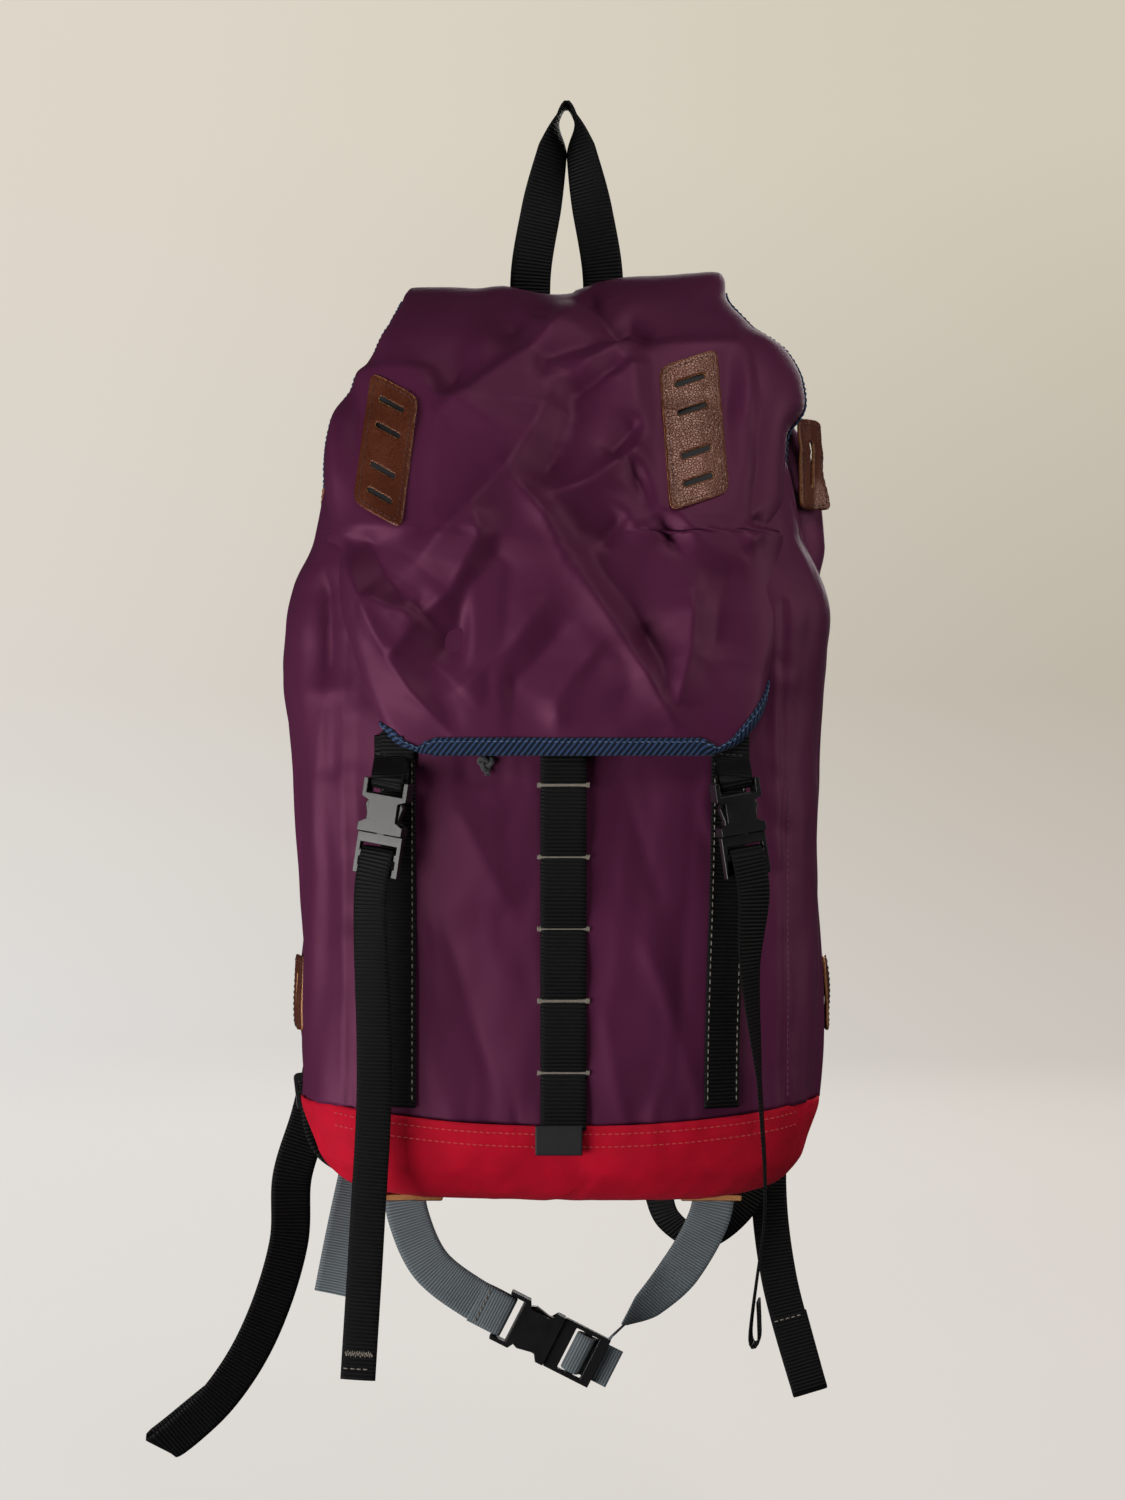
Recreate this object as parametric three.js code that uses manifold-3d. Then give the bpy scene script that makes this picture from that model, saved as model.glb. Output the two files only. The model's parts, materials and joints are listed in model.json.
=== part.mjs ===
// A daypack that hangs from its haul loop. Millimetres, +Z up, the front faces -Y, +X is the viewer's right.
// The origin is the underside of the haul loop's top, where a hook bears.
import * as THREE from 'three';
import { mergeVertices } from 'three/addons/utils/BufferGeometryUtils.js';
import Module from 'manifold-3d';

const wasm = await Module();
wasm.setup();

// ---------------------------------------------------------------- driving dimensions

const GAP = 0.3;               // between pieces that touch
const CLOTH = 2.5;             // thickness of a fabric wall
const WEB = 1.6;               // thickness of plain webbing
const STRAP_WIDTH = 20;        // webbing of the lid straps
const WIDE_WEB = 25;           // webbing of the haul loop, daisy chain and belt
const AROUND = 40;             // facets around the sack and the lid
const SQUARENESS = 3.2;        // exponent of the sack's rounded-box section

const SEAM_Z = -577;           // seam between the purple body and the red base
const BASE_Z = -628;           // underside of the base
const COLLAR_Z = -145;         // seam between the sack and its drawstring collar
const SEAM_SHARE = 0.8;        // the front panel's share of the sack's width
const HEM_Z = -384;            // lid hem at the front
const DART_Z = -262;           // level of the lid's side darts
const HINGE = { y: -10, z: -105 };   // seam that the lid turns about

const STRAP_X = 92;            // front strips and lid straps, from the middle
const TACKS_Z = [-401, -440, -479, -518, -557];

// Stations of the outer surfaces: height, half width, front and back.
const SACK = [
  [BASE_Z, 112, -124, -16],
  [-621, 131, -143, -5],
  [-605, 142, -153, -2],
  [SEAM_Z, 147, -157, -1.5],
  [-450, 147, -157, -1.5],
  [-318, 150, -157, -1.5],
  [-257, 141, -146, -1.5],
  [-210, 131, -118, -1.5],
  [-170, 112, -86, -1.5],
  [COLLAR_Z, 88, -62, -1.5],
];
const LID = [
  [-104, 74, -30, 14],
  [-108, 92, -52, 14],
  [-120, 104, -74, 14],
  [-136, 114, -92, 14],
  [-160, 129, -113, 14],
  [-195, 142, -137, 14],
  [-257, 147, -157, 14],
  [-305, 158, -165.5, 14],
  [-390, 158, -165.5, 14],
];

// ---------------------------------------------------------------- solids and materials

const COLOURS = {
  plum: [0x5c2d50, 0.6, 0], red: [0xb0001c, 0.65, 0], navy: [0x263a5c, 0.7, 0],
  leather: [0x8a5030, 0.6, 0], black: [0x151517, 0.75, 0], slate: [0x5f6973, 0.75, 0],
  plastic: [0x101012, 0.3, 0], thread: [0x969087, 0.7, 0], lining: [0x4a4d52, 0.8, 0],
};

const group = new THREE.Group();

// A named mesh of one material, added to the model or to a turned group of it.
function add(name, colour, geometry, parent = group) {
  const [color, roughness, metalness] = COLOURS[colour];
  const material = new THREE.MeshStandardMaterial({ color, roughness, metalness });
  const mesh = new THREE.Mesh(geometry, material);
  mesh.name = name;
  parent.add(mesh);
  return mesh;
}

// The manifold solid of a closed geometry, turned right side out.
function solid(geometry) {
  const bare = geometry.clone();
  for (const name of Object.keys(bare.attributes)) {
    if (name !== 'position') bare.deleteAttribute(name);
  }
  const merged = mergeVertices(bare, 1e-3);
  const position = merged.attributes.position;
  const corner = [0, 1, 2].map(() => new THREE.Vector3());
  const faces = [];
  let volume = 0;
  for (let i = 0; i < merged.index.count; i += 3) {
    const face = [0, 1, 2].map((k) => merged.index.getX(i + k));
    if (face[0] === face[1] || face[1] === face[2] || face[2] === face[0]) continue;
    face.forEach((v, k) => corner[k].fromBufferAttribute(position, v));
    volume += corner[0].dot(corner[1].clone().cross(corner[2]));
    faces.push(face);
  }
  const order = volume > 0 ? [0, 1, 2] : [0, 2, 1];
  const triVerts = new Uint32Array(faces.flatMap((face) => order.map((k) => face[k])));
  const vertProperties = new Float32Array(position.array);
  return new wasm.Manifold(new wasm.Mesh({ numProp: 3, vertProperties, triVerts }));
}

// The geometry of a manifold solid.
function geometryOf(shape) {
  const mesh = shape.getMesh();
  const geometry = new THREE.BufferGeometry();
  geometry.setAttribute('position', new THREE.BufferAttribute(new Float32Array(mesh.vertProperties), 3));
  geometry.setIndex(new THREE.BufferAttribute(new Uint32Array(mesh.triVerts), 1));
  geometry.computeVertexNormals();
  return geometry;
}

// The largest body of a cut that may leave slivers.
function largest(shape) {
  const bodies = shape.decompose();
  bodies.sort((a, b) => b.volume() - a.volume());
  return bodies[0];
}

function box(x0, x1, y0, y1, z0, z1) {
  const geometry = new THREE.BoxGeometry(x1 - x0, y1 - y0, z1 - z0);
  return geometry.translate((x0 + x1) / 2, (y0 + y1) / 2, (z0 + z1) / 2);
}

// An outline drawn in x and z, as thick as y0 to y1.
function slabXZ(shape, y0, y1) {
  const geometry = new THREE.ExtrudeGeometry(shape, { depth: y1 - y0, bevelEnabled: false, curveSegments: 5 });
  return geometry.rotateX(Math.PI / 2).translate(0, y1, 0);
}

// An outline drawn in y and z, as wide as x0 to x1.
function slabYZ(shape, x0, x1) {
  const geometry = new THREE.ExtrudeGeometry(shape, { depth: x1 - x0, bevelEnabled: false, curveSegments: 5 });
  geometry.applyMatrix4(new THREE.Matrix4().set(0, 0, 1, x0, 1, 0, 0, 0, 0, 1, 0, 0, 0, 0, 0, 1));
  return geometry;
}

function polygon(points) {
  return new THREE.Shape(points.map(([a, b]) => new THREE.Vector2(a, b)));
}

// A rectangle with round corners, centred on x, z.
function roundRect(x, z, width, height, radius) {
  const [l, r, b, t] = [x - width / 2, x + width / 2, z - height / 2, z + height / 2];
  const shape = new THREE.Shape();
  shape.moveTo(l + radius, b);
  shape.lineTo(r - radius, b).quadraticCurveTo(r, b, r, b + radius);
  shape.lineTo(r, t - radius).quadraticCurveTo(r, t, r - radius, t);
  shape.lineTo(l + radius, t).quadraticCurveTo(l, t, l, t - radius);
  shape.lineTo(l, b + radius).quadraticCurveTo(l, b, l + radius, b);
  return shape;
}

// ---------------------------------------------------------------- surfaces of the sack and the lid

// Half width, front and back of a surface at height z, straight between its stations.
function sectionAt(stations, z) {
  const up = stations[0][0] < stations[1][0];
  const rows = up ? stations : [...stations].reverse();
  const last = rows.length - 1;
  const level = Math.min(Math.max(z, rows[0][0]), rows[last][0]);
  let i = 0;
  while (i < last - 1 && rows[i + 1][0] < level) i += 1;
  const t = (level - rows[i][0]) / (rows[i + 1][0] - rows[i][0]);
  return [1, 2, 3].map((k) => rows[i][k] * (1 - t) + rows[i + 1][k] * t);
}

// y of the front of a surface at x, z, and x of its side at y, z.
function frontY(stations, x, z) {
  const [half, front, back] = sectionAt(stations, z);
  const fall = 1 - Math.min(Math.abs(x) / half, 0.98) ** SQUARENESS;
  return (front + back) / 2 - ((back - front) / 2) * fall ** (1 / SQUARENESS);
}

function sideX(stations, y, z) {
  const [half, front, back] = sectionAt(stations, z);
  const depth = Math.abs(y - (front + back) / 2) / ((back - front) / 2);
  return half * (1 - Math.min(depth, 0.98) ** SQUARENESS) ** (1 / SQUARENESS);
}

// The closed surface through the stations, shrunk by inset; bottom and top may be moved.
function loft(stations, inset = 0, bottom = stations[0][0], top = stations.at(-1)[0]) {
  const [low, high] = [Math.min(bottom, top), Math.max(bottom, top)];
  const inner = stations.map((row) => row[0]).filter((z) => z > low + 1 && z < high - 1);
  const levels = [low, ...inner.sort((a, b) => a - b), high];
  const profile = [new THREE.Vector2(0, low)];
  for (const z of levels) profile.push(new THREE.Vector2(1, z));
  profile.push(new THREE.Vector2(0, high));
  const geometry = new THREE.LatheGeometry(profile, AROUND).rotateX(Math.PI / 2);
  const position = geometry.attributes.position;
  for (let i = 0; i < position.count; i += 1) {
    const [x, y, z] = [position.getX(i), position.getY(i), position.getZ(i)];
    const [half, front, back] = sectionAt(stations, z);
    const bend = (c) => Math.sign(c) * Math.abs(c) ** (2 / SQUARENESS);
    const radius = Math.hypot(x, y);
    const [cx, cy] = radius > 0 ? [bend(x / radius), bend(y / radius)] : [0, 0];
    const mid = (front + back) / 2;
    position.setXYZ(i, (half - inset) * cx * radius, mid + ((back - front) / 2 - inset) * cy * radius, z);
  }
  return geometry;
}

// A plate that follows the front of a surface: x and z limits, its clearance and its thickness.
function frontPlate(stations, x0, x1, z0, z1, clear, thick, step = 12) {
  const [nx, nz] = [Math.max(1, Math.round((x1 - x0) / step)), Math.max(1, Math.round((z1 - z0) / step))];
  const geometry = new THREE.BoxGeometry(x1 - x0, thick, z1 - z0, nx, 1, nz);
  geometry.translate((x0 + x1) / 2, -clear - thick / 2, (z0 + z1) / 2);
  const position = geometry.attributes.position;
  for (let i = 0; i < position.count; i += 1) {
    const [x, y, z] = [position.getX(i), position.getY(i), position.getZ(i)];
    position.setY(i, frontY(stations, x, z) + y);
  }
  return geometry;
}

// The same on a side: sign is -1 on the left and 1 on the right.
function sidePlate(stations, sign, y0, y1, z0, z1, clear, thick) {
  const [ny, nz] = [Math.max(1, Math.round((y1 - y0) / 12)), Math.max(1, Math.round((z1 - z0) / 16))];
  const geometry = new THREE.BoxGeometry(thick, y1 - y0, z1 - z0, 1, ny, nz);
  geometry.translate(clear + thick / 2, (y0 + y1) / 2, (z0 + z1) / 2);
  const position = geometry.attributes.position;
  for (let i = 0; i < position.count; i += 1) {
    const [x, y, z] = [position.getX(i), position.getY(i), position.getZ(i)];
    position.setX(i, sign * (sideX(stations, y, z) + x));
  }
  return geometry;
}

// Webbing along a path: across gives the direction of its width at each end, or at each of several points.
function webbing(points, across, width, thickness = WEB, steps = 4 * (points.length - 1)) {
  const path = new THREE.CatmullRomCurve3(points.map((p) => new THREE.Vector3(...p)), false, 'centripetal');
  const turns = across.map((v) => new THREE.Vector3(...v));
  const geometry = new THREE.BoxGeometry(width, thickness, 1, 1, 1, steps);
  const position = geometry.attributes.position;
  for (let i = 0; i < position.count; i += 1) {
    const t = Math.min(Math.max(position.getZ(i) + 0.5, 0), 1);
    const place = t * (turns.length - 1);
    const k = Math.min(Math.floor(place), turns.length - 2);
    const tangent = path.getTangent(t);
    const wide = turns[k].clone().lerp(turns[k + 1], place - k);
    wide.addScaledVector(tangent, -wide.dot(tangent)).normalize();
    const thick = tangent.clone().cross(wide);
    const at = path.getPoint(t);
    at.addScaledVector(wide, position.getX(i)).addScaledVector(thick, position.getY(i));
    position.setXYZ(i, at.x, at.y, at.z);
  }
  return geometryOf(solid(geometry));
}

// ---------------------------------------------------------------- the sack

function addSack() {
  const outer = solid(loft(SACK));
  const hollow = solid(loft(SACK, CLOTH, BASE_Z + CLOTH, COLLAR_Z + 5));
  const shell = outer.subtract(hollow);
  const body = shell.subtract(solid(box(-200, 200, -300, 100, BASE_Z - 10, SEAM_Z + GAP)));
  const middle = -50;
  const seams = (extra, y0, y1) => {
    const up = SACK.map(([z, half]) => [SEAM_SHARE * half + extra, z]);
    const down = SACK.map(([z, half]) => [-SEAM_SHARE * half - extra, z]).reverse();
    return solid(slabXZ(polygon([...up, ...down]), y0, y1));
  };
  const sides = body.subtract(seams(0, -300, 100));
  const half = (sign) => solid(box(Math.min(0, 300 * sign), Math.max(0, 300 * sign), -300, 100, -700, 0));
  add('front_panel', 'plum', geometryOf(largest(body.intersect(seams(-GAP, -300, middle)))));
  add('side_panel_left', 'plum', geometryOf(largest(sides.intersect(half(-1)))));
  add('side_panel_right', 'plum', geometryOf(largest(sides.intersect(half(1)))));
  add('rear_panel', 'plum', geometryOf(largest(body.intersect(seams(-GAP, middle, 100)))));
  add('base_panel', 'red', geometryOf(shell.intersect(solid(box(-200, 200, -300, 100, -700, SEAM_Z)))));
}

// The drawstring collar: a ring that narrows to the mouth.
function addCollar() {
  const rim = [[COLLAR_Z + GAP, 87, -61, -2], [-132, 76, -54, -5.5], [-124, 74, -52, -5.5]];
  const ring = solid(loft(rim)).subtract(solid(loft(rim.map(([z, w, f, b]) => [z, w - 2, f + 2, b - 2]),
    0, COLLAR_Z - 1, -120)));
  add('collar', 'lining', geometryOf(largest(ring)));
}

// The padded back, behind the sack, and the yoke between it and the lid seam.
function addBack() {
  const outline = roundRect(0, -372, 232, 500, 40);
  add('back_pad', 'black', slabXZ(outline, 1.6, 15));
  add('yoke', 'plum', slabXZ(roundRect(0, -113.3, 172, 20, 7), -5, -1.2));
}

// ---------------------------------------------------------------- pieces sewn on the front

function addDaisyChain() {
  add('daisy_chain', 'black', frontPlate(SACK, -14.5, 10.5, -586, HEM_Z - 2, 0.8, WEB));
  TACKS_Z.forEach((z, i) => {
    add(`bar_tack_${i + 1}`, 'thread', frontPlate(SACK, -16, 12, z - 1.2, z + 1.2, 0.8 + WEB + GAP, 0.8));
  });
  add('label_tab', 'black', frontPlate(SACK, -17, 8, -600, -587, 0.4, 1.2));
}

function addFrontStrips() {
  for (const [name, x] of [['left', -STRAP_X], ['right', STRAP_X - 4]]) {
    add(`front_strip_${name}`, 'black', frontPlate(SACK, x - 10, x + 10, SEAM_Z + 2, -404, 0.4, 1.2));
  }
}

// A leather patch with its slots, cut from a plate that lies on the surface.
function lashPatch(name, plate, outline, slots) {
  let patch = solid(plate).intersect(solid(outline));
  for (const slot of slots) patch = patch.subtract(solid(slot));
  add(name, 'leather', geometryOf(largest(patch)));
}

// Where a lid patch's slots lie, as shares of its height from its middle.
const LASH_SLOTS = [0.34, 0.14, -0.16, -0.35];

function addLidPatches() {
  // Name, centre x and z, width and height from the front, lean, and how much the outer side is pulled up.
  const rows = [
    ['left', -100, -216, 28, 80, 0.1, -0.5],
    ['right', 70, -205, 33, 85, -0.055, 0.3],
  ];
  for (const [name, x, z, width, height, lean, pull] of rows) {
    const shear = new THREE.Matrix4().makeShear(0, pull, 0, 0, 0, 0);
    const laid = (geometry) => geometry.rotateY(lean).applyMatrix4(shear).translate(x, 0, z);
    const plate = frontPlate(LID, x - 24, x + 24, z - 58, z + 58, 1.4, 2.2, 7);
    const slot = (share) => box(-width / 4, width / 4, -300, 100, height * share - 1.6, height * share + 1.6);
    const outline = laid(slabXZ(roundRect(0, 0, width, height, 6), -300, 0));
    lashPatch(`lid_patch_${name}`, plate, outline, LASH_SLOTS.map((share) => laid(slot(share))));
  }
}

function addSidePatches() {
  const rows = [
    ['upper_left', -1, -58, -218, 26, 52], ['upper_right', 1, -58, -218, 26, 52],
    ['lower_left', -1, -72, -520, 30, 42], ['lower_right', 1, -72, -520, 30, 42],
  ];
  for (const [name, sign, y, z, wide, high] of rows) {
    const plate = sidePlate(SACK, sign, y - wide, y + wide, z - high, z + high, 0.4, 2.2);
    const outline = slabYZ(roundRect(y, z, wide, high, 5), sign < 0 ? -300 : 0, sign < 0 ? 0 : 300);
    const slot = box(-300, 300, y - 1.6, y + 1.6, z - high / 4, z + high / 4);
    lashPatch(`side_patch_${name}`, plate, outline, [slot]);
  }
}

function addBasePads() {
  for (const [name, x] of [['left', -86], ['right', 80]]) {
    add(`base_pad_${name}`, 'leather', slabXZ(roundRect(x, BASE_Z - 2.3, 34, 4, 1), -120, -70));
  }
}

// ---------------------------------------------------------------- the lid

// The space of the lid, grown or shrunk by inset: its outline from the front and from the side.
function lidRegion(inset) {
  const low = HEM_Z + inset;
  const flap = new THREE.Shape();
  flap.moveTo(-200, 0);
  flap.lineTo(-200, DART_Z + inset);
  flap.lineTo(-124 + inset, DART_Z + inset);
  flap.quadraticCurveTo(-121 + inset, -344, -101 + inset, -374 + inset);
  flap.lineTo(-88 + inset, low);
  flap.lineTo(88 - inset, low);
  flap.lineTo(101 - inset, -374 + inset);
  flap.quadraticCurveTo(121 - inset, -344, 124 - inset, DART_Z + inset);
  flap.lineTo(200, DART_Z + inset);
  flap.lineTo(200, 0);
  const edge = polygon([
    [HINGE.y - 1, 0], [HINGE.y - 1, -107], [-40 - inset, -135], [-66 - inset, -200],
    [-80 - inset, -268], [-80 - inset, -500], [-400, -500], [-400, 0],
  ]);
  return solid(slabXZ(flap, -400, 100)).intersect(solid(slabYZ(edge, -300, 300)));
}

function addLid() {
  const shell = solid(loft(LID)).subtract(solid(loft(LID, CLOTH, -420, -104 - CLOTH)));
  const tape = 9;
  add('lid_panel', 'plum', geometryOf(largest(shell.intersect(lidRegion(tape + GAP)))));
  add('lid_binding', 'navy', geometryOf(largest(shell.intersect(lidRegion(0)).subtract(lidRegion(tape)))));
}

// ---------------------------------------------------------------- side-release buckles

// A socket, its plug and the plug's two prongs for webbing of one width.
// The group's origin is the mouth, +Z points to the socket's bar, and the front is -Y.
function addBuckle(name, strap, place) {
  const half = strap / 2 + 3;
  const thick = 4.5;
  const k = strap / 20;
  const bar = 24.4 * k;
  const outline = polygon([
    [-half, 26 * k], [-half, 16 * k], [-half + 4.5, 14 * k], [-half + 4.5, 4 * k], [-half, 1.5 * k],
    [-half, -2.9], [half, -2.9], [half, 1.5 * k], [half - 4.5, 4 * k], [half - 4.5, 14 * k],
    [half, 16 * k], [half, 26 * k],
  ]);
  const cavity = box(-half + 1.4, half - 1.4, -2.7, 2.7, -10, 16.5 * k);
  const slot = box(-strap / 2 - 0.5, strap / 2 + 0.5, -20, 20, 18.5 * k, bar - 1.5);
  const above = (y0, y1) => box(-strap / 2 - 0.5, strap / 2 + 0.5, y0, y1, 18 * k, 40 * k);
  const over = box(-40, 40, -20, 20, bar + 1.5, 40 * k);
  let socket = solid(slabXZ(outline, -thick, thick));
  for (const cut of [cavity, slot, above(-20, -1.5), above(1.5, 20), over]) socket = socket.subtract(solid(cut));
  add(`${name}_socket`, 'plastic', geometryOf(largest(socket)), place);

  const frame = polygon([[-half, -3.3], [-half, -26 * k], [half, -26 * k], [half, -3.3],
    [2.4, -3.3], [1.8, 11 * k], [-1.8, 11 * k], [-2.4, -3.3]]);
  let plug = solid(slabXZ(frame, -2.2, 2.2));
  for (const [z0, z1] of [[-13 * k, -9 * k], [-21 * k, -17 * k]]) {
    plug = plug.subtract(solid(box(-strap / 2 - 0.5, strap / 2 + 0.5, -20, 20, z0, z1)));
  }
  add(`${name}_plug`, 'plastic', geometryOf(plug), place);

  for (const [side, sign] of [['a', -1], ['b', 1]]) {
    const x = (v) => sign * v;
    const arm = polygon([[x(half - 5.6), -2.5], [x(half - 2.6), -2.5], [x(half - 3.6), 5 * k],
      [x(half - 1.8), 12 * k], [x(half - 3.4), 15 * k], [x(half - 5.6), 12 * k]]);
    add(`${name}_prong_${side}`, 'plastic', geometryOf(solid(slabXZ(arm, -2.2, 2.2))), place);
  }
}

// A group at a point, turned about the vertical and leaned in its own face.
function turned(point, lean, turn) {
  const place = new THREE.Group();
  place.position.set(...point);
  place.rotation.set(0, lean, turn, 'ZYX');
  group.add(place);
  place.updateMatrixWorld(true);
  return place;
}

// Points and a direction of a turned group in the model's own frame.
function worldPoint(place, p) {
  return place.localToWorld(new THREE.Vector3(...p)).toArray();
}

function worldAcross(place) {
  return new THREE.Vector3(1, 0, 0).transformDirection(place.matrixWorld).toArray();
}

const BUCKLE_TURN = 0.35;
const BUCKLE_LEAN = 0.16;

function addLidStraps() {
  const rows = [['left', -1, -96, -163.5], ['right', 1, 90, -166.5]];
  for (const [name, sign, x, y] of rows) {
    const place = turned([x + sign * 3.5, y - 3, -424], -sign * BUCKLE_LEAN, sign * BUCKLE_TURN);
    addBuckle(`${name}_buckle`, STRAP_WIDTH, place);
    const slope = (frontY(SACK, x + 8, HEM_Z) - frontY(SACK, x - 8, HEM_Z)) / 16;
    const level = [1, slope, 0];
    const turn = worldAcross(place);
    const at = (py, pz) => worldPoint(place, [0, py, 24.4 + pz]);
    const top = HEM_Z + 10;
    const middle = (frontY(SACK, x, top) + frontY(LID, x, top) + CLOTH) / 2;
    const stub = [[x, middle + 0.95, top], [x, middle + 0.95, HEM_Z - 1], at(3, 3), at(2.2, -2.2), at(0, -3.1),
      at(-2.2, -2.2), at(-3, 3), [x, middle - 0.95, HEM_Z - 1], [x, middle - 0.95, top]];
    add(`lid_strap_${name}`, 'black', webbing(stub, [level, level, turn, turn, turn, turn, turn, level, level],
      STRAP_WIDTH - 2, 1.1, 32));
    const from = (py, pz) => worldPoint(place, [0, py, pz]);
    const flat = [1, 0, 0];
    const tails = {
      left: { ends: [[-104, y - 3, -560], [-108, y - 2, -640], [-113, y - 2, -722]], across: [flat, flat, flat] },
      right: { ends: [[101, y - 3, -540], [106, y - 2, -620], [98, y - 2, -706]],
        across: [[0.5, 0.85, 0], [0.2, 1, 0], [0.2, 1, 0]] },
    };
    const { ends, across } = tails[name];
    const tail = [from(4.2, -17), from(3, -12.2), from(0, -10.8), from(-3, -12.2), from(-4.2, -17),
      from(-4.8, -34), ...ends];
    add(`strap_tail_${name}`, 'black', webbing(tail, [turn, turn, turn, turn, turn, turn, ...across],
      STRAP_WIDTH - 1, 1.1, 44));
  }
}

// ---------------------------------------------------------------- drawcord

const CORD = 3;
const LOCK = [-46, -90, -156];     // centre of the cord lock's barrel

// The route of the drawcord's free end, from its lock to the knot under the hem.
const CORD_ROUTE = [
  [-46, -90, -167], [-46, -97.5, -173], [-46, -106, -181], [-46, -116.5, -191.5], [-46, -126, -205],
  [-45.5, -133.2, -218], [-45, -139.5, -232], [-44.5, -145.4, -244.5], [-44, -150.3, -257],
  [-44, -154, -272], [-44, -156.5, -288], [-44, -158.6, -303], [-44, -160, -318], [-44, -160.2, -334],
  [-44, -160, -350], [-44, -160, -367], [-44, -160.2, -384],
];

function addDrawcord() {
  const circle = new THREE.Shape();
  circle.absarc(0, 0, CORD / 2, 0, Math.PI * 2);
  const path = new THREE.CatmullRomCurve3(CORD_ROUTE.map((p) => new THREE.Vector3(...p)), false, 'centripetal');
  const tube = new THREE.ExtrudeGeometry(circle, { steps: 36, extrudePath: path, curveSegments: 4 });
  add('drawcord', 'slate', geometryOf(solid(tube)));
  const knot = new THREE.SphereGeometry(3.6, 10, 8).scale(1, 0.7, 1.3).translate(-44, -160.2, -389.2);
  add('drawcord_knot', 'slate', knot);
  const barrel = new THREE.LatheGeometry([[0, -9], [5.5, -9], [5.5, 5], [3.9, 5], [3.9, -4], [0, -4]].map(
    ([r, z]) => new THREE.Vector2(r, z)), 16).rotateX(Math.PI / 2).translate(...LOCK);
  add('cord_lock_barrel', 'plastic', barrel);
  const button = new THREE.LatheGeometry([[0, 0], [3.5, 0], [3.5, 7], [4.6, 7], [4.6, 10], [0, 10]].map(
    ([r, z]) => new THREE.Vector2(r, z)), 16).rotateX(Math.PI / 2).translate(...LOCK);
  add('cord_lock_button', 'plastic', button);
}

// ---------------------------------------------------------------- haul loop, shoulder straps and belt

function addHaulLoop() {
  const t = WEB / 2;
  const legs = [[-22, 0, -122], [-21, 0, -95], [-15, 0, -60], [-8, 0, -25], [-5, 0, -7], [0, 0, t + 0.4],
    [5, 0, -7], [8, 0, -25], [15, 0, -60], [21, 0, -95], [22, 0, -122]];
  const wide = [1, 0, 0];
  const deep = [0, 1, 0];
  const across = [wide, wide, wide, [0.7, 0.7, 0], deep, deep, deep, [-0.7, 0.7, 0], [-1, 0, 0], [-1, 0, 0],
    [-1, 0, 0]];
  add('haul_loop', 'black', webbing(legs, across, WIDE_WEB - 1, WEB, 44));
}

function addShoulderStraps() {
  for (const [name, sign] of [['left', -1], ['right', 1]]) {
    const s = (v) => sign * v;
    const reach = name === 'left' ? 148 : 128;
    const pad = [[s(44), 24, -134], [s(50), 48, -210], [s(74), 56, -320], [s(108), 44, -440], [s(reach - 4), 25, -560]];
    add(`shoulder_strap_${name}`, 'black', webbing(pad, [[1, 0, 0], [1, 0, s(0.1)]], 56, 11, 14));
    const place = turned([s(reach), 22, -586], s(0.12), 0);
    const lock = roundRect(0, 0, 31, 22, 3);
    const plate = ['a', 'b'].reduce((shape, _, i) => shape.subtract(solid(
      box(-13, 13, -20, 20, -6.5 + 7.5 * i, -1.5 + 7.5 * i))), solid(slabXZ(lock, -1.6, 1.6)));
    add(`ladder_lock_${name}`, 'plastic', geometryOf(plate), place);
  }
}

function addShoulderTails() {
  const wide = [1, 0, 0];
  const left = [[-147, 16.4, -583], [-147, 15, -602], [-140, 8, -618], [-122, 0, -629]];
  add('shoulder_anchor_left', 'black', webbing(left, [wide, wide, [0.9, 0.3, 0.3], [0.9, 0.3, 0.3]], 24, WEB, 12));
  const right = [[127, 16.4, -583], [122, 15, -610], [104, 10, -655], [80, 4, -672], [60, 0, -660], [52, -4, -632]];
  add('shoulder_anchor_right', 'black', webbing(right,
    [wide, wide, [0.8, 0, 0.6], [0.3, 0.3, 1], [0.6, 0.2, -0.8], [1, 0, -0.3]], 20, WEB, 22));
  const tailLeft = [[-149, 29, -580], [-155, 30, -604], [-166, 30, -640], [-168, 28, -680], [-186, 22, -735],
    [-210, 16, -772], [-243, 10, -800]];
  add('shoulder_tail_left', 'black', webbing(tailLeft, [wide, [1, 0, -0.4]], 24, WEB, 24));
  const tailRight = [[128, 29, -580], [122, 28, -640], [128, 24, -700], [146, 18, -768]];
  add('shoulder_tail_right', 'black', webbing(tailRight, [wide, [1, 0, 0.3]], 20, WEB, 14));
}

const BELT_LEAN = 1.1;

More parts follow.
